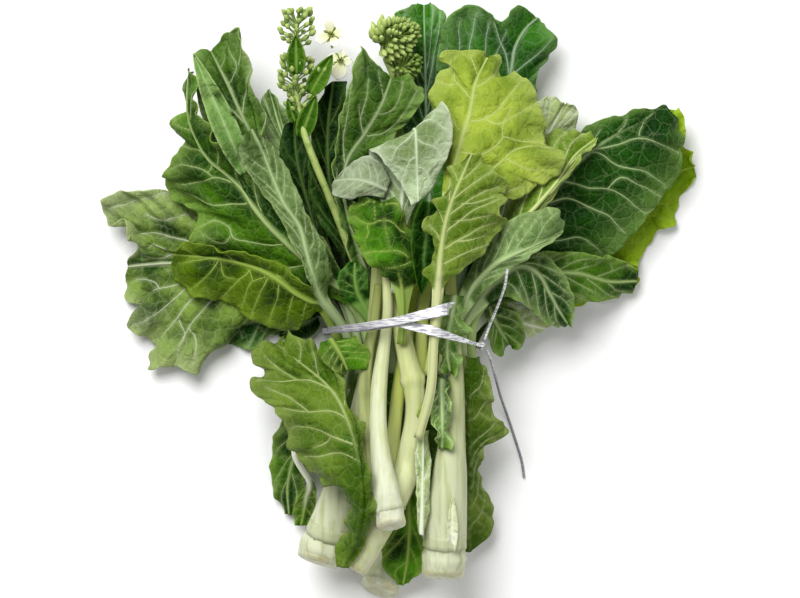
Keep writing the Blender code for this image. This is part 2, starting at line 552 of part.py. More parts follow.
def sheet_mesh(points):
    """Triangulated grid of faces through a grid of points, with each vertex's place in the grid."""
    rows, columns = points.shape[:2]
    bm = bmesh.new()
    bmesh.ops.create_grid(bm, x_segments=columns - 1, y_segments=rows - 1, size=1)
    order = []
    for vertex in bm.verts:
        column = round((vertex.co.x + 1) / 2 * (columns - 1))
        row = round((vertex.co.y + 1) / 2 * (rows - 1))
        order.append((row, column))
    for vertex, place in zip(bm.verts, order):
        vertex.co = points[place]
    bmesh.ops.triangulate(bm, faces=bm.faces, quad_method="SHORT_EDGE")
    return bm, order


def face_samples(places, half, faces):
    """Points spread over the triangles, their owners' indices, and the half thickness upright there."""
    spots, owners, uprights = [], [], []
    for number, face in enumerate(faces):
        corners = places[face]
        normal = np.cross(corners[1] - corners[0], corners[2] - corners[0])
        lean = max(abs(normal[2]) / (np.linalg.norm(normal) + 1e-9), 0.35)
        longest = max(np.linalg.norm(corners - np.roll(corners, 1, axis=0), axis=1))
        steps = max(1, math.ceil(longest / SAMPLE))
        i, j = np.meshgrid(np.arange(steps + 1), np.arange(steps + 1))
        inside = i + j <= steps
        weights = np.stack([i[inside], j[inside], steps - i[inside] - j[inside]], axis=1) / steps
        spots.append(weights @ corners)
        uprights.append(weights @ half[face] / lean)
        owners.append(np.full(len(weights), number))
    return np.concatenate(spots), np.concatenate(owners), np.concatenate(uprights)


def lay_leaf(pile, name, leaf, seed):
    points, half = leaf_surface(leaf, seed)
    bm, order = sheet_mesh(points)
    faces = np.array([[vertex.index for vertex in face.verts] for face in bm.faces])
    places = np.array([points[place] for place in order])
    halves = np.array([half[place] for place in order])
    spots, owners, uprights = face_samples(places, halves, faces)
    under = spots - np.stack([0 * uprights, 0 * uprights, uprights], axis=1)
    short = np.full(len(faces), -np.inf)
    np.maximum.at(short, owners, pile.shortfall(under))
    need = np.full(len(places), -np.inf)
    for corner in range(3):
        np.maximum.at(need, faces[:, corner], short)
    places[:, 2] += raised(places, need, LEAF_SLOPE)
    spots, _, uprights = face_samples(places, halves, faces)
    pile.add(spots + np.stack([0 * uprights, 0 * uprights, uprights], axis=1))
    for vertex, place in zip(bm.verts, places):
        vertex.co = place
    mesh = mesh_of(name, bm)
    made = object_of(name, mesh, leaf["colour"])
    group = made.vertex_groups.new(name="thickness")
    for index, value in enumerate(halves / halves.max()):
        group.add([index], float(value), "REPLACE")
    solid = made.modifiers.new("blade", "SOLIDIFY")
    solid.thickness = 2 * halves.max() * MM
    solid.vertex_group = "thickness"
    solid.offset = 0


def tube_samples(path, radii, side):
    """Points over the lower (side -1) or upper (side 1) half of a round tube, and the path segment of each."""
    spots, owners = [], []
    for i in range(len(path) - 1):
        steps = max(2, math.ceil(math.dist(path[i], path[i + 1]) / SAMPLE))
        heading = path[i + 1] - path[i]
        flat = max(np.linalg.norm(heading[:2]), 1e-6)
        sideways = np.array([-heading[1], heading[0], 0]) / flat
        for t in np.linspace(0, 1, steps + 1):
            centre = path[i] * (1 - t) + path[i + 1] * t
            radius = radii[i] * (1 - t) + radii[i + 1] * t
            count = max(3, math.ceil(2 * radius / SAMPLE))
            for off in np.linspace(-1, 1, count):
                up = np.array([0, 0, side * math.sqrt(1 - off * off)])
                spots.append(centre + radius * (off * sideways + up))
                owners.append(i)
    return np.array(spots), np.array(owners)


def stalk_path(stalk):
    """Close points along a stalk and the radius at each."""
    lengths = [math.dist(a, b) for a, b in zip(stalk["path"], stalk["path"][1:])]
    count = max(4, round(sum(lengths) / STALK_STEP))
    fractions = np.linspace(0, 1, count + 1)
    ends = np.concatenate([[0], np.cumsum(lengths)]) / sum(lengths)
    return along(stalk["path"], fractions), np.interp(fractions, ends, stalk["radii"])


def settle_path(pile, path, radii, slope):
    """The path raised to lie clear of the pile, which the tube is then added to."""
    spots, owners = tube_samples(path, radii, -1)
    short = np.full(len(path) - 1, -np.inf)
    np.maximum.at(short, owners, pile.shortfall(spots))
    need = np.maximum(np.append(short, -np.inf), np.append(-np.inf, short))
    path = path.copy()
    path[:, 2] += raised(path, need, slope)
    pile.add(tube_samples(path, radii, 1)[0])
    return path


def tube_mesh(name, path, radii, sides=8):
    """A closed round tube through the points, made from a curve."""
    curve = bpy.data.curves.new(name, "CURVE")
    curve.dimensions = "3D"
    curve.twist_mode = "Z_UP"
    curve.bevel_depth = 1
    curve.bevel_resolution = (sides - 4) // 2
    curve.use_fill_caps = True
    spline = curve.splines.new("POLY")
    spline.points.add(len(path) - 1)
    for point, place, radius in zip(spline.points, path, radii):
        point.co = (*place, 1)
        point.radius = radius
    holder = bpy.data.objects.new(name, curve)
    bpy.context.scene.collection.objects.link(holder)
    bpy.context.view_layer.update()
    mesh = bpy.data.meshes.new_from_object(holder.evaluated_get(bpy.context.evaluated_depsgraph_get()))
    bpy.data.objects.remove(holder)
    bpy.data.curves.remove(curve)
    bm = bmesh.new()
    bm.from_mesh(mesh)
    bmesh.ops.remove_doubles(bm, verts=bm.verts, dist=0.001)
    bmesh.ops.recalc_face_normals(bm, faces=bm.faces)
    bm.to_mesh(mesh)
    bm.free()
    return mesh


def cut_off(mesh, place, outwards):
    """The mesh with everything beyond a plane cut away and the cut closed."""
    bm = bmesh.new()
    bm.from_mesh(mesh)
    everything = bm.verts[:] + bm.edges[:] + bm.faces[:]
    bmesh.ops.bisect_plane(bm, geom=everything, dist=0.001, plane_co=place, plane_no=outwards, clear_outer=True)
    bmesh.ops.holes_fill(bm, edges=[edge for edge in bm.edges if edge.is_boundary], sides=0)
    bmesh.ops.triangulate(bm, faces=bm.faces)
    bm.to_mesh(mesh)
    bm.free()


def lay_stalk(pile, name, stalk):
    """A stalk with an oblique cut at its lower end, flat where it lies on the surface."""
    path, radii = stalk_path(stalk)
    path = settle_path(pile, path, radii, STALK_SLOPE)
    path[:, 2] -= stalk["sunk"] * np.clip((-70 - path[:, 1]) / 20, 0, 1)
    mesh = tube_mesh(name, path, radii)
    heading = path[0] - path[1]
    heading /= np.linalg.norm(heading)
    place = path[0] - 0.3 * radii[0] * heading
    cut_off(mesh, place, (heading[0], heading[1], heading[2] + 0.35))
    if min(vertex.co.z for vertex in mesh.vertices) < 0:
        cut_off(mesh, (0, 0, 0), (0, 0, -1))
    object_of(name, mesh, stalk["colour"])


def joined(name, meshes, colour):
    """One body from overlapping closed meshes in millimetres."""
    extras = bpy.data.collections.new(name + "_extras")
    bpy.context.scene.collection.children.link(extras)
    first, *others = meshes
    made = object_of(name, first, colour)
    for number, mesh in enumerate(others):
        mesh.transform(Matrix.Scale(MM, 4))
        extras.objects.link(bpy.data.objects.new(f"{name}_{number}", mesh))
    union = made.modifiers.new("union", "BOOLEAN")
    union.operation = "UNION"
    union.operand_type = "COLLECTION"
    union.collection = extras
    union.solver = "EXACT"
    bpy.context.view_layer.update()
    whole = bpy.data.meshes.new_from_object(made.evaluated_get(bpy.context.evaluated_depsgraph_get()))
    made.modifiers.clear()
    made.data = whole
    for extra in list(extras.objects):
        bpy.data.objects.remove(extra)
    bpy.data.collections.remove(extras)
    return made


def bud_mesh(place, heading, length, width):
    """A bud on its short stalk: the root is at the place and the tip points along the heading."""
    bm = bmesh.new()
    bmesh.ops.create_uvsphere(bm, u_segments=5, v_segments=4, radius=0.5)
    turn = Vector((0, 0, 1)).rotation_difference(Vector(heading)).to_matrix()
    for vertex in bm.verts:
        x, y, z = vertex.co
        spread = width * 1.1 if z > 0 else 2.2
        vertex.co = Vector(place) + turn @ Vector((x * spread, y * spread, (z + 0.5) * length))
    return mesh_of("bud", bm)


def core_mesh(centre, radii):
    """The smooth body inside a dense cluster, which its buds are rooted in."""
    bm = bmesh.new()
    bmesh.ops.create_icosphere(bm, subdivisions=1, radius=1)
    for vertex in bm.verts:
        vertex.co = [c + v * r for c, v, r in zip(centre, vertex.co, radii)]
    return mesh_of("core", bm)


def cluster(centre, count, size, draw):
    """Buds round a point of a stem, set by the golden angle and leaning towards the stem's tip."""
    buds = []
    for i in range(count):
        height = 1 - 1.7 * (i + 0.5) / count
        ring = math.sqrt(1 - height * height)
        spin = i * GOLDEN + draw.uniform(-0.25, 0.25)
        out = Vector((ring * math.cos(spin), height, ring * math.sin(spin)))
        root = Vector(centre) + 0.22 * size * out + Vector((0, draw.uniform(-0.25, 0.25) * size, 0))
        heading = out + Vector((0, 0.5, 0.15))
        length = BUD_LENGTH * draw.uniform(0.9, 1.15)
        buds.append(bud_mesh(root, heading, length, BUD_WIDTH * draw.uniform(0.9, 1.15)))
    return buds


def lay_bud_spray(pile):
    """The left stem with its two open clusters of buds."""
    draw = random.Random(5)
    stem = stalk(
        [(-13, -40, 26), (-16, -15, 28), (-40, 50, 38), (-62, 105, 46), (-69, 135, 48), (-70, 158, 46),
         (-69, 184, 42)],
        [2.8, 2.8, 2.6, 2.4, 2.2, 1.8, 1.6],
    )
    path, radii = stalk_path(stem)
    wide = np.where(path[:, 1] > 120, 9, radii)
    path = settle_path(pile, path, wide, STALK_SLOPE)
    pieces = [tube_mesh("spray", path, radii, 6)]
    for height, count, size in ((131, 10, 9), (146, 14, 10), (180, 18, 10)):
        centre = [np.interp(height, path[:, 1], path[:, axis]) for axis in range(3)]
        pieces.append(core_mesh(centre, (0.45 * size, 0.7 * size, 0.42 * size)))
        pieces += cluster(centre, count, size, draw)
    fork = [np.interp(126, path[:, 1], path[:, axis]) for axis in range(3)]
    side = np.array([fork, (-58, 140, fork[2] + 2), (-52, 153, fork[2] + 3)])
    pieces.append(tube_mesh("side_branch", side, [1.4, 1.3, 1.2], 6))
    pieces.append(core_mesh(side[-1], (3.4, 5, 3.4)))
    pieces += cluster(side[-1], 6, 8, draw)
    joined("left_bud_spray", pieces, "bud")


def lay_big_bud_head(pile):
    """The dense head at the top: an inner core under one layer of buds, on its stem."""
    draw = random.Random(11)
    stem = stalk([(8, -45, 24), (8, -10, 26), (4, 60, 34), (-1, 120, 40), (-5, 152, 42)], [3, 3, 2.8, 2.6, 2.6])
    path, radii = stalk_path(stem)
    wide = np.where(path[:, 1] > 130, 12, radii)
    path = settle_path(pile, path, wide, STALK_SLOPE)
    pieces = [tube_mesh("head_stem", path, radii, 6)]
    centre = Vector(path[-1]) + Vector((0, 14, 2))
    pieces.append(core_mesh(centre, (15, 18, 9.5)))
    count = 46
    for i in range(count):
        height = 1 - 1.35 * (i + 0.5) / count
        ring = math.sqrt(1 - height * height)
        spin = i * GOLDEN + draw.uniform(-0.2, 0.2)
        out = Vector((ring * math.cos(spin), ring * math.sin(spin), height))
        root = centre + Vector((out.x * 11.5, out.y * 14.5, out.z * 6.5))
        heading = out + Vector((0.15, 0.5, 0.1))
        pieces.append(bud_mesh(root, heading, BUD_LENGTH * draw.uniform(0.85, 1.1), BUD_WIDTH))
    joined("big_bud_head", pieces, "bud")
    spots = []
    for vertex in bpy.data.objects["big_bud_head"].data.vertices:
        spots.append(vertex.co / MM)
    pile.add(np.array(spots))


def petal_mesh(spin, tilt):
    """One petal of a flower that faces +Z: a thin round blade on a narrow claw."""
    bm = bmesh.new()
    bmesh.ops.create_grid(bm, x_segments=2, y_segments=4, size=1)
    for vertex in bm.verts:
        t = (vertex.co.y + 1) / 2
        width = PETAL_WIDTH / 2 * (0.22 + 0.85 * math.sin(math.pi * min(1, 0.12 + t * 0.86)) ** 0.8 * t**0.5)
        out = 0.6 + t * PETAL_LENGTH
        x = vertex.co.x * width
        z = out * math.tan(tilt) + 0.05 * x * x - 1.5 * t * t
        turned = (x * math.cos(spin) - out * math.sin(spin), x * math.sin(spin) + out * math.cos(spin), z)
        vertex.co = turned
    bmesh.ops.triangulate(bm, faces=bm.faces)
    bmesh.ops.recalc_face_normals(bm, faces=bm.faces)
    bmesh.ops.solidify(bm, geom=bm.faces, thickness=0.6)
    bmesh.ops.recalc_face_normals(bm, faces=bm.faces)
    return mesh_of("petal", bm)


def lay_flower(pile, name, x, y, tilt, turn):
    """A white flower of four petals joined at a small disc, set just clear of what lies under it."""
    pieces = []
    bm = bmesh.new()
    bmesh.ops.create_uvsphere(bm, u_segments=8, v_segments=4, radius=1)
    for vertex in bm.verts:
        vertex.co = (vertex.co.x * 2.2, vertex.co.y * 2.2, vertex.co.z * 1.6)
    pieces.append(mesh_of("disc", bm))
    pieces += [petal_mesh(turn + k * math.pi / 2, tilt) for k in range(4)]
    spots = np.array([vertex.co for mesh in pieces for vertex in mesh.vertices])
    spots[:, 0] += x
    spots[:, 1] += y
    spread = np.linspace(-1, 1, 9)
    tests = [spots + np.array([a, b, 0]) for a in spread for b in spread]
    lift = max(pile.shortfall(test).max() for test in tests) + GAP
    for mesh in pieces:
        mesh.transform(Matrix.Translation((x, y, lift)))
    spots[:, 2] += lift
    pile.add(spots)
    joined(name, pieces, "petal")


def tie_y(x):
    """The band's place along the bunch, which runs a little askew."""
    share = (x - TIE_LEFT[0]) / (TIE_RIGHT[0] - TIE_LEFT[0])
    return TIE_LEFT[1] + share * (TIE_RIGHT[1] - TIE_LEFT[1])


def lay_tie_underside(pile):
    """The run of the band under the bunch, kept free for it."""
    xs = np.arange(TIE_LEFT[0] - 3, TIE_RIGHT[0] + 3, 1.0)
    for off in np.arange(-RIBBON / 2 - 2, RIBBON / 2 + 2, 1.0):
        spots = np.stack([xs, tie_y(xs) + off, np.full(len(xs), TIE_FLOOR + RIBBON_THICKNESS)], axis=1)
        pile.add(spots)


def hull_over(xs, heights):
    """The taut line over a row of heights: the corners of its upper hull."""
    corners = []
    for x, z in zip(xs, heights):
        while len(corners) > 1:
            (ax, az), (bx, bz) = corners[-2:]
            if (bx - ax) * (z - az) - (bz - az) * (x - ax) < 0:
                break
            corners.pop()
        corners.append((x, z))
    return corners


def heights_over(pile, xs, ys, width):
    """Clear heights for a ribbon of this width that passes over the pile at these places."""
    heights = np.zeros(len(xs))
    for off in np.arange(-width / 2 - 1, width / 2 + 1.5, 1.0):
        for shift in (-3, -1.5, 0, 1.5, 3):
            spots = np.stack([xs + shift, ys + off, np.zeros(len(xs))], axis=1)
            heights = np.maximum(heights, pile.shortfall(spots))
    return heights


def ribbon_mesh(line, widths, closed):
    """A flat ribbon of the given widths along a line of points, standing across it along Y."""
    bm = bmesh.new()
    near = [bm.verts.new((x, y - width / 2, z)) for (x, y, z), width in zip(line, widths)]
    edges = [bm.edges.new(pair) for pair in zip(near, near[1:])]
    if closed:
        edges.append(bm.edges.new((near[-1], near[0])))
    far = bmesh.ops.extrude_edge_only(bm, edges=edges)["geom"]
    for vertex in [item for item in far if isinstance(item, bmesh.types.BMVert)]:
        nearest = min(range(len(line)), key=lambda i: (vertex.co - near[i].co).length)
        vertex.co.y += widths[nearest]
    bmesh.ops.triangulate(bm, faces=bm.faces)
    bmesh.ops.recalc_face_normals(bm, faces=bm.faces)
    bmesh.ops.solidify(bm, geom=bm.faces, thickness=RIBBON_THICKNESS)
    bmesh.ops.recalc_face_normals(bm, faces=bm.faces)
    return mesh_of("ribbon", bm)


def lay_tie(pile):
    """The band round the bunch with its knot, the loose end over it, and the two tails."""
    xs = np.linspace(TIE_LEFT[0], TIE_RIGHT[0], 105)
    top = hull_over(xs, heights_over(pile, xs, tie_y(xs), RIBBON) + 0.3)
    over = [(x, tie_y(x), z) for x, z in top]
    under = [(x, tie_y(x), TIE_FLOOR) for x in (TIE_RIGHT[0] - 3, 20, -15, TIE_LEFT[0] + 3)]
    line = [*over, (TIE_RIGHT[0], TIE_RIGHT[1], TIE_FLOOR + 3), *under, (*TIE_LEFT, TIE_FLOOR + 3)]
    widths = []
    for x, _, z in line:
        share = (x - TIE_LEFT[0]) / (TIE_RIGHT[0] - TIE_LEFT[0])
        widths.append(RIBBON * (1 - 0.6 * share) if z > TIE_FLOOR + 6 else RIBBON * 0.7)
    band = ribbon_mesh(line, widths, closed=True)
    knot_place = (TIE_RIGHT[0], TIE_RIGHT[1], top[-1][1] - 2)
    joined("tie_band", [band, core_mesh(knot_place, KNOT)], "ribbon")
    band_x = np.array([x for x, _ in top])
    band_z = np.array([z for _, z in top])
    fine = np.arange(TIE_LEFT[0], TIE_RIGHT[0], 0.8)
    for off in np.arange(-RIBBON / 2, RIBBON / 2 + 0.5, 1.0):
        pile.add(np.stack([fine, tie_y(fine) + off, np.interp(fine, band_x, band_z) + 0.3], axis=1))

    xs = np.linspace(TIE_LEFT[0] + 4, 33, 80)
    ys = np.interp(xs, [TIE_LEFT[0], -22, 0, 33], [-20.5, -17.5, -12.5, -5.5])
    loose = hull_over(xs, heights_over(pile, xs, ys, RIBBON) + 0.3)
    line = [(x, float(np.interp(x, xs, ys)), z) for x, z in loose]
    object_of("tie_loose_end", ribbon_mesh(line, [RIBBON] * len(line), closed=False), "ribbon")


def lay_tail(pile, name, route):
    """A loose end of the tie's wire from the knot, lying on what it meets."""
    length = sum(math.dist(a, b) for a, b in zip(route, route[1:]))
    path = along(route, np.linspace(0, 1, round(length / TAIL_STEP) + 1))
    radii = [TAIL_RADIUS] * len(path)
    path = settle_path(pile, path, radii, TAIL_SLOPE)
    object_of(name, tube_mesh(name, path, radii), "ribbon")


def main():
    for old in list(bpy.data.objects):
        bpy.data.objects.remove(old)
    bunch = bpy.data.collections.new("turnip_greens")
    bpy.context.scene.collection.children.link(bunch)
    pile = Pile()
    lay_tie_underside(pile)
    seed = 0
    for group in (LOW_PIECES, MIDDLE_PIECES, STALKS, HIGH_PIECES):
        if group is MIDDLE_PIECES:
            lay_bud_spray(pile)
            lay_big_bud_head(pile)
            lay_flower(pile, "flower_front", -38, 155, 0.3, 0.4)
            lay_flower(pile, "flower_back", -44, 172, 0.9, 0.1)
        for name, piece in group.items():
            seed += 1
            if "rib" in piece:
                lay_leaf(pile, name, piece, seed)
            else:
                lay_stalk(pile, name, piece)
    lay_tie(pile)
    for name, route in TAILS.items():
        lay_tail(pile, name, route)


main()
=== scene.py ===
"""Looks of a tied bunch of turnip greens that lies on its back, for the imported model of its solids.

The leaves point to +Y, the cut stalk ends to -Y, and +Z is up. Sizes and places are in millimetres until a
mesh is made. The bunch is laid as its solids are, piece after piece, which gives every leaf its place. Each
leaf is then made again with a fine surface: ruffled margins, cells that bulge between the veins, and the
veins themselves.
"""

import math
import random

import bmesh
import bpy
import numpy as np
from mathutils import Matrix, Vector, kdtree


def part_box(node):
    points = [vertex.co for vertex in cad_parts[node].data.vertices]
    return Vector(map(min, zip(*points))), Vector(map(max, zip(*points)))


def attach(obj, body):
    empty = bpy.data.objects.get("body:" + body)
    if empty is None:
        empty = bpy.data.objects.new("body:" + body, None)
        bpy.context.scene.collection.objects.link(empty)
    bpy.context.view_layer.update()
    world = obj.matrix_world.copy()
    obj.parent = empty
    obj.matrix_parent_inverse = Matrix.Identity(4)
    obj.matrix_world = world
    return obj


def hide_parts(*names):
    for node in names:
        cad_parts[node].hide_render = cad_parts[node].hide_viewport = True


MM = 0.001

# How the solids are laid
BLADE = 0.8  # thickness of a solid leaf blade
GAP = 1.5  # clear height between one solid and the next above it
REACH = 215  # half the side of the square that the bunch is laid in
CELL = 2.0  # cell of the height map
SAMPLE = 1.2  # spacing of the points that test one piece against another
LEAF_SLOPE = 0.5  # steepest rise of a leaf where it passes over another piece
STALK_SLOPE = 0.22  # the same for a stiff stalk
TAIL_SLOPE = 0.9  # the same for a tail of the tie
STEM_STEP = 34  # length of one row of a solid leaf's stem
STALK_STEP = 14  # length of one ring of a solid stalk
TIE_FLOOR = 0.7  # height of the band's run under the bunch
RIBBON = 6.0  # width of the tie's ribbon
RIBBON_THICKNESS = 0.5
TIE_LEFT = (-52.0, -21.5)  # where the band turns down the left side of the bunch
TIE_RIGHT = (54.0, -31.0)  # and the right side, at the knot
TAIL_RADIUS = 0.9
TAIL_STEP = 4.5

# How the fine surfaces are made
FINE = 1.5  # spacing of the points of a leaf's surface
STEM_FINE = 4.0  # spacing of the rows of its stem
THIN = 0.5  # thickness of a real blade
CLEAR = 0.35  # least height between two fine surfaces
FINE_CELL = 1.5  # cell of the fine height map
LIFT_STEPS = 12  # number of cells over which a lift falls off
RUFFLE = 1.5  # how much the margins' ruffles are drawn out
HEAVE = 3.2  # height of the broad swells of a blade
PUCKER_REACH = 5.0  # distance from a vein at which the blade has risen to its full bulge
VEIN_STEP = 2.0  # spacing of the points along a vein
HALO = 1.2  # half width of the paler band along a vein
STALK_SIDES = 32
STALK_RING = 3.0  # length of one ring of a fine stalk
WELD = 0.004  # distance at which the seams of a rolled sheet become one
RUFFLE_WAVES = (33, 19, 11)  # wavelengths of a margin's ruffles
LOBE_WAVES = (22, 12, 7)  # wavelengths of its small lobes, which go in and out
SWELL_WAVES = (48, 31), (44, 29)  # wavelengths of a blade's swells along its rib and away from it
STEM_WINDOW = 5  # rows on either side over which the lift of a stem is made even
STEM_FADE = 12  # rows of the blade over which that evenness ends
BACK_FOOT = (2.5, -165, 30)  # how far the back stalk's foot bends right, from where along Y, over what length
# Nets of fine veins: cells in a metre, width of a vein as a share of its cell, how pale it is, how far the
# cells bulge (m)
VEIN_NETS = ((110.0, 0.05, 0.17, 0.0009), (285.0, 0.06, 0.08, 0.0004))

VIEW_HEIGHT = 3.5  # metres from the surface to the camera
VIEW_WIDTH = 0.536  # metres across the picture: 800 pixels of 0.67 mm
VIEW_LEVEL = 0.04  # height in metres at which that width holds
SENSOR = 36  # width of the camera's sensor

# The band's run over the bunch, which bows where the loose end crosses it: places along X and Y, then how
# wide it shows at shares of its length
BAND_BOW = ([TIE_LEFT[0], -25, 0, 20, TIE_RIGHT[0]], [TIE_LEFT[1], -19.5, -16.3, -20.5, TIE_RIGHT[1]])
BAND_WIDTHS = ([0, 0.3, 0.45, 0.55, 0.68, 0.85, 1], [3.6, 4.4, 3.6, 5.4, 6.6, 3.6, 1.8])
# The same for the loose end
LOOSE_ROUTE = ([TIE_LEFT[0], -25, 0, 33], [-20.8, -18.3, -14.2, -6.0])
LOOSE_WIDTHS = ([0, 0.3, 0.55, 0.8, 1], [3.4, 4.8, 5.4, 7.6, 8.2])
# Routes of the two tails of the tie, from the knot to the end
TAILS = {
    "tie_tail_long": [(57.8, -34.2, 51.5), (60.5, -40, 47), (64, -52, 32), (68, -66, 15), (73, -80, 4.5),
                      (78, -95, 1), (82.5, -110, 0.9), (84, -121, 0.9)],
    "tie_tail_short": [(56.4, -27.2, 53.5), (58.5, -21, 54), (62, -12, 54), (66, -2, 56), (69.5, 9, 60),
                       (71, 20, 62)],
}


def leaf(stem, rib, left, right, rise=(0, 0), ruffle=(2, 2), petiole=3.0, colour="leaf"):
    """A leaf: its stem and rib in space, its left and right margins in plan as seen walking from base to tip.

    rise is how far each margin stands over the rib, ruffle the height and number of the margin's waves, and
    petiole half the width of the stem.
    """
    return {
        "stem": stem, "rib": rib, "left": left, "right": right, "rise": rise,
        "ruffle": ruffle, "petiole": petiole, "colour": colour,
    }


def stalk(path, radii, colour="stalk", sunk=0.0):
    """A round stalk; sunk is how much of its underside is pressed flat below the tie."""
    return {"path": path, "radii": radii, "colour": colour, "sunk": sunk}


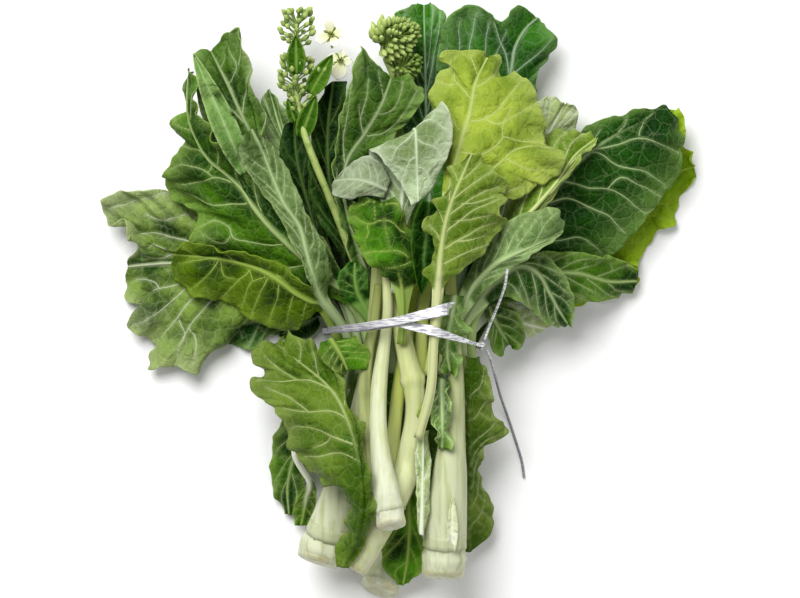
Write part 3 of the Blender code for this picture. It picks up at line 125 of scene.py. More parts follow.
LOW_PIECES = {
    "back_stalk": stalk(
        [(-18, -198, 10), (-9, -178, 9.5), (2, -150, 8.5), (5, -100, 8), (5, -40, 8), (2, 20, 8), (0, 70, 8)],
        [10.5, 10, 9, 7.5, 6, 4.5, 3], sunk=0.9,
    ),
    "back_leaf_middle": leaf(
        stem=[(-12, -155, 4), (-15, -80, 4), (-13, -25, 5)],
        rib=[(-9, 0, 6), (-5, 50, 8), (-3, 100, 7), (-6, 148, 4)],
        left=[(-16, 2), (-50, 30), (-66, 60), (-58, 95), (-42, 125), (-16, 146)],
        right=[(-3, 2), (30, 25), (52, 55), (56, 90), (38, 125), (4, 148)],
        rise=(3, 3), ruffle=(3, 2), petiole=3.5, colour="dark",
    ),
    "inner_left_leaf": leaf(
        stem=[(-10, -80, 6)],
        rib=[(-22, -20, 7), (-32, 10, 9), (-42, 45, 12), (-52, 88, 10)],
        left=[(-38, -18), (-58, 6), (-68, 40), (-66, 70), (-58, 88)],
        right=[(-9, -20), (-7, 8), (-12, 45), (-30, 75), (-46, 90)],
        rise=(3, 2), ruffle=(2, 2), petiole=3.5, colour="dark",
    ),
    "inner_right_leaf": leaf(
        stem=[(22, -120, 6), (26, -80, 6)],
        rib=[(34, -46, 8), (42, -8, 10), (54, 26, 14), (68, 56, 16)],
        left=[(22, -44), (20, -6), (26, 30), (42, 55), (60, 62)],
        right=[(46, -44), (62, -12), (78, 18), (82, 42), (74, 56)],
        rise=(2, 3), ruffle=(2, 2), petiole=3.5, colour="dark",
    ),
    "top_leaf": leaf(
        stem=[(14, -140, 6), (16, -70, 6), (18, -25, 6), (20, 20, 10)],
        rib=[(20, 60, 14), (18, 110, 20), (17, 155, 24), (16, 198, 22)],
        left=[(14, 60), (4, 95), (-4, 130), (0, 160), (-4, 190), (4, 196), (12, 199)],
        right=[(26, 60), (36, 95), (34, 130), (27, 160), (30, 190), (26, 196), (20, 199)],
        rise=(4, -4), ruffle=(2, 2), colour="leaf",
    ),
    "top_right_leaf": leaf(
        stem=[(26, -150, 6), (30, -70, 6), (32, -25, 7), (42, 20, 12)],
        rib=[(50, 60, 18), (62, 105, 28), (73, 145, 34), (77, 168, 34), (86, 184, 28), (92, 189, 24)],
        left=[(45, 62), (40, 85), (31, 110), (24, 135), (25, 160), (30, 187), (46, 197), (60, 193), (68, 185),
              (77, 197), (88, 193)],
        right=[(55, 60), (66, 82), (76, 102), (86, 120), (91, 138), (92, 152), (100, 164), (106, 172),
               (101, 180), (96, 186), (92, 190)],
        rise=(6, -8), ruffle=(3, 3), petiole=3.5, colour="leaf",
    ),
    "crinkled_leaf": leaf(
        stem=[(36, -110, 8), (40, -60, 8), (42, -20, 8), (56, 20, 12)],
        rib=[(76, 66, 20), (90, 92, 26), (101, 113, 30), (111, 131, 26)],
        left=[(72, 68), (81, 92), (88, 112), (91, 131), (98, 136), (106, 136)],
        right=[(81, 64), (97, 82), (110, 98), (119, 114), (119, 126), (114, 132)],
        rise=(3, -3), ruffle=(4, 3), colour="pale",
    ),
    "right_back_leaf": leaf(
        stem=[(38, -160, 5), (43, -100, 5), (45, -25, 5)],
        rib=[(50, -5, 6), (85, 28, 10), (120, 52, 14), (155, 75, 12), (199, 90, 5)],
        left=[(46, 2), (68, 42), (95, 80), (125, 108), (155, 118), (176, 125), (187, 129), (192, 118),
              (191, 103), (198, 100), (200, 95)],
        right=[(58, -9), (86, -1), (115, -3), (143, 1), (162, 12), (158, 21), (168, 35), (175, 47), (186, 50),
               (188, 66), (199, 81)],
        rise=(8, -8), ruffle=(4, 3), petiole=4, colour="bright",
    ),
    "big_right_leaf": leaf(
        stem=[(34, -130, 8), (39, -60, 8), (41, -22, 9)],
        rib=[(50, 0, 14), (74, 34, 28), (98, 66, 40), (120, 92, 44), (145, 110, 38), (181, 127, 26)],
        left=[(46, 4), (62, 36), (80, 64), (98, 88), (114, 104), (128, 116), (147, 123), (166, 127),
              (179, 129)],
        right=[(57, -6), (84, 8), (112, 18), (138, 28), (155, 42), (171, 62), (186, 82), (190, 102),
               (186, 120)],
        rise=(-8, -14), ruffle=(3, 2), petiole=4, colour="dark",
    ),
    "low_right_pale_leaf": leaf(
        stem=[(44, -60, 8), (46, -20, 8)],
        rib=[(60, -8, 10), (74, -12, 9), (86, -17, 7), (98, -20, 4)],
        left=[(60, -3), (76, -3), (91, -8), (101, -18)],
        right=[(62, -13), (71, -20), (82, -26), (94, -23)],
        rise=(2, -3), ruffle=(1.5, 2), colour="pale",
    ),
    "low_right_lobed_leaf": leaf(
        stem=[(47, -50, 10), (48, -12, 12)],
        rib=[(56, 0, 14), (63, -14, 15), (69, -24, 11), (75, -31, 6)],
        left=[(62, 2), (73, -4), (82, -14), (84, -25), (82, -33), (76, -34)],
        right=[(53, -4), (58, -12), (60, -22), (61, -32), (67, -39), (70, -29)],
        rise=(2, 2), ruffle=(2, 2), colour="bright",
    ),
    "low_right_wide_leaf": leaf(
        stem=[(48, -50, 10), (48, -16, 11)],
        rib=[(56, 2, 15), (84, 14, 20), (112, 18, 22), (138, 12, 16), (160, 12, 8)],
        left=[(53, 8), (80, 28), (108, 32), (132, 30), (150, 26), (160, 20)],
        right=[(59, -5), (84, -2), (106, -6), (128, -1), (144, 0), (156, 6)],
        rise=(4, -5), ruffle=(3, 3), petiole=3.5, colour="pale",
    ),
    "low_right_arched_leaf": leaf(
        stem=[(43, -50, 12), (43, -16, 13)],
        rib=[(56, 4, 20), (72, 18, 24), (86, 22, 26), (96, 10, 22), (104, -4, 14), (113, -17, 6)],
        left=[(55, 12), (74, 28), (94, 30), (108, 18), (115, 4), (117, -9), (115, -19)],
        right=[(60, -3), (72, 2), (80, -2), (88, -8), (96, -15), (103, -18), (110, -19)],
        rise=(3, -4), ruffle=(2, 2), colour="leaf",
    ),
    "low_left_dark_leaf": leaf(
        stem=[(-34, -130, 4), (-40, -60, 4), (-41, -24, 5)],
        rib=[(-50, -6, 5), (-78, -11, 5), (-104, -16, 3), (-127, -21, 1)],
        left=[(-55, -11), (-63, -21), (-78, -24), (-88, -24), (-98, -34), (-115, -31), (-127, -29)],
        right=[(-48, -1), (-62, 4), (-78, 6), (-92, 8), (-106, 8), (-120, 4), (-130, -8)],
        rise=(1, 2), ruffle=(1.5, 2), colour="dark",
    ),
    "left_fan_leaf": leaf(
        stem=[(-30, -150, 5), (-36, -70, 5), (-38, -22, 6)],
        rib=[(-45, -5, 9), (-80, 6, 16), (-115, 17, 20), (-150, 24, 16), (-184, 22, 6)],
        left=[(-48, -9), (-80, -8), (-108, -14), (-130, -32), (-137, -49), (-153, -45), (-169, -48),
              (-166, -31), (-184, -19), (-173, -6), (-184, 0), (-186, 12)],
        right=[(-42, 1), (-72, 18), (-104, 42), (-132, 64), (-156, 73), (-180, 73), (-199, 69), (-199, 57),
               (-187, 50), (-178, 41), (-178, 33), (-185, 28)],
        rise=(-8, 4), ruffle=(5, 3), petiole=4.5, colour="pale",
    ),
    "pointed_leaf": leaf(
        stem=[(-24, -50, 14), (-30, -20, 16)],
        rib=[(-50, 30, 22), (-66, 80, 28), (-79, 110, 32), (-88, 141, 30)],
        left=[(-54, 30), (-74, 78), (-91, 112), (-93, 132), (-89, 140)],
        right=[(-46, 32), (-58, 78), (-66, 106), (-77, 128), (-86, 139)],
        rise=(2, 4), ruffle=(1, 2), petiole=2.5, colour="pale",
    ),
    "dark_oblong_leaf": leaf(
        stem=[(-22, -40, 14), (-32, -10, 18)],
        rib=[(-52, 30, 26), (-66, 80, 34), (-70, 100, 36), (-71, 120, 34)],
        left=[(-56, 32), (-76, 78), (-81, 100), (-77, 117)],
        right=[(-48, 30), (-58, 78), (-61, 98), (-65, 116)],
        rise=(3, 3), ruffle=(1, 1), petiole=2.5, colour="dark",
    ),
    "dark_middle_leaf": leaf(
        stem=[(-18, -50, 16), (-20, -20, 18)],
        rib=[(-30, 20, 24), (-44, 60, 32), (-49, 100, 36), (-45, 146, 36)],
        left=[(-34, 20), (-56, 56), (-61, 88), (-58, 118), (-52, 142)],
        right=[(-26, 20), (-32, 56), (-34, 90), (-34, 120), (-36, 146)],
        rise=(5, 3), ruffle=(2, 2), petiole=2.5, colour="dark",
    ),
    "tall_left_leaf": leaf(
        stem=[(-22, -130, 8), (-27, -70, 8), (-29, -25, 9)],
        rib=[(-36, -2, 14), (-54, 30, 26), (-78, 70, 38), (-101, 113, 46), (-115, 143, 44), (-127, 166, 38)],
        left=[(-42, 0), (-60, 26), (-80, 54), (-104, 84), (-124, 106), (-134, 128), (-136, 150), (-137, 164),
              (-132, 168)],
        right=[(-30, 0), (-42, 24), (-58, 50), (-76, 82), (-90, 112), (-97, 140), (-104, 168), (-108, 181),
               (-119, 174)],
        rise=(6, 10), ruffle=(2, 2), petiole=3.5, colour="leaf",
    ),
    "upper_left_leaf": leaf(
        stem=[(-14, -120, 10), (-19, -60, 10), (-21, -25, 12)],
        rib=[(-30, 0, 20), (-56, 20, 32), (-90, 52, 44), (-108, 76, 48), (-130, 96, 40), (-141, 122, 30),
             (-141, 148, 22)],
        left=[(-36, -4), (-66, 6), (-98, 18), (-124, 30), (-140, 38), (-136, 56), (-150, 69), (-159, 80),
              (-152, 92), (-145, 106), (-150, 120), (-138, 131), (-143, 146), (-139, 153)],
        right=[(-28, 6), (-46, 24), (-62, 42), (-78, 60), (-92, 76), (-102, 86), (-108, 92), (-116, 100),
               (-122, 108), (-128, 117), (-133, 126), (-136, 134), (-135, 144), (-137, 152)],
        rise=(-12, 6), ruffle=(4, 4), petiole=4, colour="bright",
    ),
    "olive_left_leaf": leaf(
        stem=[(-40, -60, 14), (-42, -24, 16)],
        rib=[(-50, -5, 22), (-68, 3, 32), (-86, 16, 40), (-106, 24, 38), (-130, 28, 30), (-152, 30, 22)],
        left=[(-54, -9), (-61, -13), (-74, -20), (-90, -18), (-104, -10), (-117, -2), (-132, 1), (-141, 1),
              (-148, 12), (-153, 24)],
        right=[(-47, -2), (-54, 4), (-64, 12), (-80, 24), (-98, 30), (-116, 34), (-130, 37), (-141, 38),
               (-150, 36), (-153, 32)],
        rise=(-14, 5), ruffle=(2.5, 3), colour="olive",
    ),
    "grey_narrow_leaf": leaf(
        stem=[(-34, -60, 16), (-36, -22, 18)],
        rib=[(-52, 0, 32), (-60, 20, 44), (-66, 46, 52), (-80, 68, 56), (-89, 92, 54), (-99, 113, 48)],
        left=[(-56, 0), (-60, 12), (-68, 30), (-76, 46), (-88, 66), (-101, 82), (-107, 97), (-105, 109)],
        right=[(-48, 2), (-45, 18), (-50, 34), (-58, 50), (-67, 68), (-75, 87), (-85, 101), (-97, 114)],
        rise=(6, -6), ruffle=(1.5, 2), colour="pale",
    ),
}

MIDDLE_PIECES = {
    "centre_left_leaf": leaf(
        stem=[(-4, -50, 18), (-8, -20, 20)],
        rib=[(-22, 15, 30), (-34, 50, 44), (-38, 84, 54), (-26, 106, 58), (-14, 126, 56), (-6, 147, 48)],
        left=[(-28, 16), (-38, 42), (-44, 70), (-44, 98), (-39, 124), (-32, 150), (-27, 168), (-14, 155)],
        right=[(-18, 14), (-26, 42), (-32, 72), (-26, 92), (-8, 106), (6, 119), (16, 139), (4, 148)],
        rise=(10, -4), ruffle=(2.5, 2), colour="leaf",
    ),
    "mid_right_leaf": leaf(
        stem=[(28, -50, 18), (31, -20, 20)],
        rib=[(50, 12, 30), (76, 46, 44), (98, 70, 54), (113, 90, 56), (122, 103, 52), (131, 107, 46)],
        left=[(46, 16), (70, 56), (86, 80), (95, 103), (105, 113), (118, 112), (128, 110)],
        right=[(54, 8), (82, 44), (103, 68), (110, 80), (118, 90), (126, 99), (132, 105)],
        rise=(-6, 6), ruffle=(2, 2), colour="bright",
    ),
    "pale_mid_right_leaf": leaf(
        stem=[(36, -50, 20), (37, -18, 22)],
        rib=[(46, 4, 34), (60, 21, 46), (78, 31, 52), (95, 38, 50), (108, 45, 42)],
        left=[(42, 10), (52, 28), (64, 44), (76, 54), (90, 59), (102, 60), (109, 51)],
        right=[(50, -2), (60, 9), (72, 18), (82, 25), (92, 32), (101, 39), (108, 43)],
        rise=(-5, 4), ruffle=(2, 2), colour="pale",
    ),
    "inner_curl_leaf": leaf(
        stem=[(-12, -40, 22), (-18, -15, 24)],
        rib=[(-26, 0, 30), (-30, 12, 37), (-30, 24, 37)],
        left=[(-34, -2), (-41, 8), (-40, 18), (-34, 25)],
        right=[(-20, 2), (-21, 10), (-22, 18), (-26, 24)],
        rise=(4, 3), ruffle=(1, 1), petiole=2.5, colour="pale",
    ),
    "right_lower_leaf": leaf(
        stem=[],
        rib=[(45, -169, 8), (46, -140, 12), (47, -110, 15), (46, -80, 16), (47, -56, 16), (49, -39, 14)],
        left=[(42, -168), (38, -155), (36, -140), (34, -125), (33, -110), (32, -98), (32, -88), (33, -78),
              (35, -68), (38, -56), (42, -46), (46, -40)],
        right=[(48, -170), (58, -161), (64, -150), (60, -136), (54, -118), (54, -103), (64, -96), (72, -88),
               (63, -78), (61, -62), (58, -46), (52, -39)],
        rise=(-4, -3), ruffle=(3, 3), petiole=4, colour="leaf",
    ),
    "lower_back_leaf": leaf(
        stem=[],
        rib=[(-6, -172, 8), (0, -140, 10), (4, -100, 12), (4, -50, 14)],
        left=[(-1, -172), (20, -150), (30, -118), (34, -84), (30, -52)],
        right=[(-12, -170), (-30, -146), (-38, -115), (-40, -84), (-30, -50)],
        rise=(2, 2), ruffle=(2, 2), petiole=3.5, colour="dark",
    ),
    "bottom_dark_leaf": leaf(
        stem=[(4, -90, 8)],
        rib=[(5, -112, 8), (6, -140, 8), (6, -165, 7), (2, -193, 4)],
        left=[(10, -112), (13, -138), (15, -158), (16, -180), (5, -191)],
        right=[(1, -112), (-6, -140), (-10, -160), (-12, -177), (-2, -192)],
        rise=(2, 2), ruffle=(2, 2), petiole=2.5, colour="dark",
    ),
    "left_lower_leaf": leaf(
        stem=[(-32, -40, 10)],
        rib=[(-50, -62, 13), (-66, -92, 15), (-73, -114, 14), (-78, -138, 8), (-75, -146, 6)],
        left=[(-44, -64), (-58, -96), (-64, -118), (-67, -134), (-72, -146)],
        right=[(-58, -60), (-80, -84), (-87, -106), (-85, -132), (-77, -145)],
        rise=(3, -2), ruffle=(1.5, 2), petiole=2.5, colour="leaf",
    ),
    "small_bright_leaf": leaf(
        stem=[(-56, -84, 18), (-70, -101, 20), (-64, -112, 20)],
        rib=[(-61, -123, 18), (-64, -138, 14), (-67, -153, 10)],
        left=[(-58, -123), (-56, -134), (-58, -144), (-63, -153)],
        right=[(-63, -123), (-69, -133), (-72, -144), (-71, -153)],
        rise=(2, 1), ruffle=(1, 1), petiole=2.5, colour="bright",
    ),
}

STALKS = {
    "right_thick_stalk": stalk(
        [(28, -188, 20), (30, -160, 20), (32, -130, 20), (34, -100, 20), (36, -75, 20), (37, -50, 22),
         (35, -20, 24), (33, 20, 26)],
        [14, 14, 12.5, 9.5, 7, 5, 4.5, 3.5],
    ),
    "left_thick_stalk": stalk(
        [(-56, -179, 20), (-47, -152, 20), (-38, -125, 20), (-28, -90, 20), (-20, -50, 22), (-16, -20, 24),
         (-14, 20, 26), (-14, 50, 28)],
        [14.5, 14, 11.5, 9, 7, 6, 5, 4],
    ),
    "olive_stem": stalk(
        [(-8, -140, 20), (-6, -110, 24), (-3, -80, 26), (0, -55, 28), (5, -25, 30), (9, 10, 32)],
        [5, 5, 4.5, 4.5, 4, 3.5], "olive",
    ),
    "second_stem": stalk(
        [(8, -90, 26), (12, -60, 30), (14, -38, 32), (15, -15, 34), (18, 15, 38), (22, 40, 42)],
        [4.5, 4.2, 4, 4, 3.6, 3],
    ),
    "centre_stalk": stalk(
        [(-33, -181, 24), (-15, -152, 28), (0, -126, 32), (7, -100, 34), (10, -74, 36), (8.5, -54, 38),
         (4, -35, 40), (0, -15, 42), (-4, 13, 46), (-8, 40, 48)],
        [10.5, 10, 9, 8, 6, 7.6, 6.6, 5.6, 5, 4],
    ),
    "left_outer_stem": stalk(
        [(-15, -128, 36), (-21, -105, 38), (-23, -80, 38), (-23, -58, 38), (-21, -35, 38), (-17, -15, 40),
         (-14, 10, 42)],
        [4, 4.5, 4.5, 4.5, 4, 3.5, 3],
    ),
    "front_stalk": stalk(
        [(-5, -152, 46), (-9, -128, 46), (-13, -101, 46), (-14.5, -75, 46), (-13, -50, 46), (-10, -28, 46),
         (-8, -8, 48), (-9, 20, 48)],
        [10, 9, 6.3, 5.5, 5.2, 3.8, 3.4, 3],
    ),
}

HIGH_PIECES = {
    "crumpled_upper_leaf": leaf(
        stem=[],
        rib=[(36, 2, 34), (33, -16, 40), (31, -32, 40), (33, -48, 34)],
        left=[(42, 2), (42, -12), (41, -26), (41, -38), (38, -50)],
        right=[(30, 3), (26, -12), (25, -26), (25, -38), (27, -49)],
        rise=(-3, 2), ruffle=(3, 3), petiole=2.5, colour="leaf",
    ),
    "crumpled_lower_leaf": leaf(
        stem=[],
        rib=[(28, -53, 26), (28, -75, 26), (28, -99, 16)],
        left=[(33, -54), (34, -68), (34, -84), (32, -99)],
        right=[(22, -54), (21, -68), (21, -84), (25, -100)],
        rise=(-2, 2), ruffle=(3, 2), petiole=2.5, colour="olive",
    ),
    "torn_sheath": leaf(
        stem=[],
        rib=[(14, -156, 30), (15, -125, 34), (15, -88, 34)],
        left=[(12, -154), (11, -140), (11, -122), (10, -105), (12, -90)],
        right=[(15, -157), (19, -140), (20, -118), (20, -100), (18, -87)],
        rise=(2, -3), ruffle=(1, 2), petiole=2, colour="pale",
    ),
    "lime_leaf": leaf(
        stem=[(19, -50, 30), (24, -15, 36), (28, 30, 54)],
        rib=[(33, 70, 66), (39, 100, 76), (46, 122, 80), (50, 143, 78), (58, 160, 70)],
        left=[(28, 72), (30, 88), (34, 102), (33, 116), (29, 127), (22, 131), (22, 142), (27, 151), (34, 154),
              (29, 163), (40, 166), (50, 164), (57, 161)],
        right=[(38, 66), (60, 66), (80, 67), (92, 77), (104, 81), (108, 92), (97, 103), (96, 116), (92, 129),
               (86, 144), (69, 150), (68, 159), (60, 162)],
        rise=(-4, -8), ruffle=(3, 3), colour="lime",
    ),
    "folded_leaf": leaf(
        stem=[(-3, 4, 60), (-2, 24, 66)],
        rib=[(-1, 44, 72), (3, 80, 84), (6, 103, 94), (9, 113, 100), (10, 110, 106), (11, 92, 106),
             (12, 64, 96)],
        left=[(-5, 44), (-13, 66), (-21, 86), (-21, 95), (-20, 99), (-19, 98), (-11, 91), (-2, 79), (8, 62)],
        right=[(3, 44), (14, 72), (26, 96), (30, 114), (25, 129), (31, 127), (35, 107), (28, 88), (19, 68)],
        rise=(-3, -3), ruffle=(1, 1), colour="pale",
    ),
    "curling_leaf": leaf(
        stem=[(1, -30, 44), (2, -8, 48)],
        rib=[(1, 8, 54), (-2, 22, 62), (-8, 40, 66), (-13, 64, 64)],
        left=[(-6, 12), (-14, 17), (-19, 24), (-29, 37), (-32, 50), (-31, 60), (-26, 69)],
        right=[(10, 11), (16, 15), (12, 27), (9, 38), (6, 49), (2, 58), (-4, 66)],
        rise=(-6, -5), ruffle=(3, 2), colour="bright",
    ),
    "lower_lime_leaf": leaf(
        stem=[(12, -92, 46), (19, -70, 50), (21, -45, 50), (23, -15, 54)],
        rib=[(25, 8, 60), (28, 40, 72), (34, 64, 80), (47, 95, 84)],
        left=[(21, 8), (15, 17), (22, 26), (22, 40), (17, 50), (23, 57), (20, 64), (28, 68), (34, 75),
              (30, 86), (40, 89), (44, 96)],
        right=[(29, 8), (40, 18), (51, 26), (58, 35), (65, 44), (71, 52), (63, 58), (71, 65), (66, 70),
               (71, 76), (62, 84), (52, 95)],
        rise=(-3, -6), ruffle=(3, 3), colour="lime",
    ),
    "folded_side_leaf": leaf(
        stem=[],
        rib=[(-9, 72, 78), (-18, 76, 82), (-30, 79, 82), (-44, 78, 74)],
        left=[(-10, 67), (-22, 68), (-33, 66), (-42, 68), (-46, 74)],
        right=[(-6, 78), (-13, 90), (-22, 95), (-31, 90), (-41, 83)],
        rise=(-4, 4), ruffle=(1, 2), petiole=2, colour="pale",
    ),
    "front_left_leaf": leaf(
        stem=[],
        rib=[(-38, -178, 20), (-28, -156, 32), (-25, -132, 42), (-27, -108, 50), (-33, -84, 54),
             (-44, -62, 52), (-62, -46, 44), (-80, -34, 34)],
        left=[(-42, -178), (-42, -163), (-34, -150), (-32, -136), (-42, -122), (-56, -118), (-66, -104),
              (-75, -92), (-79, -76), (-99, -61), (-90, -50), (-99, -39), (-88, -29), (-77, -25)],
        right=[(-34, -179), (-24, -163), (-18, -145), (-18, -128), (-21, -112), (-26, -97), (-30, -83),
               (-35, -68), (-38, -54), (-45, -44), (-53, -35), (-59, -29), (-66, -26), (-72, -25)],
        rise=(-12, -5), ruffle=(3, 3), petiole=4, colour="leaf",
    ),
    "flap_leaf": leaf(
        stem=[],
        rib=[(-46, -27, 44), (-40, -36, 48), (-35, -47, 46)],
        left=[(-34, -26), (-25, -29), (-20, -36), (-22, -47)],
        right=[(-53, -29), (-53, -38), (-46, -46), (-36, -50)],
        rise=(2, -3), ruffle=(1.5, 2), petiole=2.5, colour="bright",
    ),
}

BUD_STEMS = {
    "left_bud_spray": stalk(
        [(-13, -40, 26), (-16, -15, 28), (-40, 50, 38), (-62, 105, 46), (-69, 135, 48), (-70, 158, 46),
         (-69, 184, 42)],
        [2.8, 2.8, 2.6, 2.4, 2.2, 1.8, 1.6], "bud",
    ),
    "big_bud_head": stalk(
        [(8, -45, 24), (8, -10, 26), (4, 60, 34), (-1, 120, 40), (-5, 152, 42)], [3, 3, 2.8, 2.6, 2.6], "bud",
    ),
}

# Where along Y a bud stem is first laid as wide as its buds, and half that width: for the solids' pile, then
# for the fine one
BUD_HEADS = {"left_bud_spray": ((120, 9), (124, 8.5)), "big_bud_head": ((130, 12), (130, 12))}
# Clusters of the spray: place along Y of the low and high end, number of buds, their reach
SPRAY_CLUSTERS = ((124, 137, 16, 9), (138, 157, 34, 13.5), (170, 193, 38, 11))
# Leaves of the spray: base and tip, with heights over its fork, width, and how far the leaf bows up
SPRAY_LEAVES = {
    "stalk_leaf": ((-69, 150, 5), (-69.5, 176, 7), 13, 1.5),
    "fork_leaf": ((-60, 137, 2), (-45, 163, 5), 13, 2),
    "low_leaf": ((-66, 108, 1), (-56, 136, 3), 13, 2),
    "left_leaf": ((-70, 118, 1), (-75, 134, 1), 8, 1),
}
# Place of each flower, how far its petals stand up, its turn, and the length and width of each petal
FLOWERS = {
    "flower_front": (-40, 160, 0.15, 2.9, ((13.0, 13.0), (8.0, 7.0), (7.0, 6.0), (8.5, 7.5))),
    "flower_back": (-46, 177, 0.6, 0.3, ((10.5, 8.0), (11.0, 8.5), (8.5, 7.0), (9.0, 7.5))),
}
GOLDEN = 2.399963  # golden angle in radians, which spreads buds evenly

# Finishes of the stalks: colour at the cut end, at the top, and of the lengthwise streaks
STALK_COLOURS = {
    "white": ("#dadec8", "#c2c890", "#b6c078"),
    "thick": ("#d2d6ba", "#96a054", "#8c9a4c"),
    # yellow: the thin stems' colour lifted lighter to make up for the shade they lie in, partly painted light
    "yellow": ("#e8eca4", "#bacc54", "#d6e24c"),
    "green": ("#d4d8b2", "#bac07a", "#b0be60"),
    "dull": ("#c8d090", "#7e8848", "#707848"),
}
STALK_LOOKS = {
    "back_stalk": "white", "right_thick_stalk": "thick", "left_thick_stalk": "thick", "olive_stem": "yellow",
    "second_stem": "yellow", "centre_stalk": "green", "left_outer_stem": "dull", "front_stalk": "white",
}

# Swellings and grooves round a stalk: place along Y, height (negative for a groove), half width
STALK_RINGS = {
    "back_stalk": [(-200, 2.8, 14)],
    "centre_stalk": [(-54, 1.3, 2.2), (-57.5, -0.5, 1.2), (-118, 0.6, 2.5), (-166, 0.6, 3)],
    "front_stalk": [(-138, 0.8, 2.4), (-142, -0.7, 1.2)],
    "right_thick_stalk": [(-167, -0.9, 1.2), (-172, 1.0, 3.2)],
    "left_thick_stalk": [(-160, -0.9, 1.3), (-166, 1.0, 3.5)],
    "left_outer_stem": [(-60, 0.6, 2.0)],
    "second_stem": [(-66, 0.5, 2.0)],
}

# Torn skin round the base of a stalk: place along Y of the torn edge, and how far its shreds reach
TORN_SKIN = {"front_stalk": (-139, 3.6), "right_thick_stalk": (-166, 1.6), "left_thick_stalk": (-160, 2.0)}

# Bracts on a stalk: places of base and tip in plan, width, colours as a leaf's
BRACTS = {
    "centre_stalk": [((12.5, -79), (24.5, -66), 9, "bract_leaf")],
    "right_thick_stalk": [((34.5, -168), (35, -131), 7.5, "pale_bract")],
}
BRACT_LOOKS = {
    "bract_leaf": ("#a3b456", "#7f9638", "#cfd893", "#b9c66e"),
    "pale_bract": ("#e9ecd6", "#cfd6ac", "#f2f4e6", "#c2cc93"),
}

# Finishes of the leaves: main colour, darker mottling (partly random tone, partly painted shade of the
# blade's folds), veins, rim (a paler margin that also takes a painted highlight on its very edge)
LEAF_COLOURS = {
    # shaded: near-black greens for the leaves that lie deep inside the bunch, painted shade
    "shaded": ("#0c3004", "#041002", "#547034", "#345a1e"),
    "deep": ("#184404", "#062c02", "#98ae76", "#688a3e"),
    "blue_green": ("#30680e", "#0c3a04", "#90a884", "#68904a"),
    "dark": ("#3e6808", "#123404", "#98ae6c", "#7a9842"),
    "mid": ("#4c7020", "#163a06", "#a2b480", "#8caa5c"),
    "olive": ("#4a6606", "#1a3404", "#90a84a", "#748e2a"),
    "bright": ("#427806", "#102e04", "#90a850", "#6e8c34"),
    "soft": ("#5c7620", "#385806", "#9eac6e", "#7e9046"),
    "light": ("#667e24", "#4a6610", "#aeba78", "#8a9c4a"),
    "fan": ("#728e38", "#1e3a0a", "#b2bc98", "#a2b078"),
    # yellow: lifted lighter than the leaf's own yellow-green to make up for the shade it lies in, partly
    # painted light
    "yellow": ("#8aac16", "#6a9004", "#9cb23e", "#96b428"),
    "lime": ("#98ac3a", "#68801e", "#b0be70", "#a0b058"),
    "grey": ("#607a44", "#3c5420", "#9cb07c", "#788e56"),
    "whitish": ("#9cae6c", "#648028", "#d6dcc6", "#b8c498"),
    "pale": ("#aabc94", "#708452", "#c2d0ae", "#c2ceb0"),
}

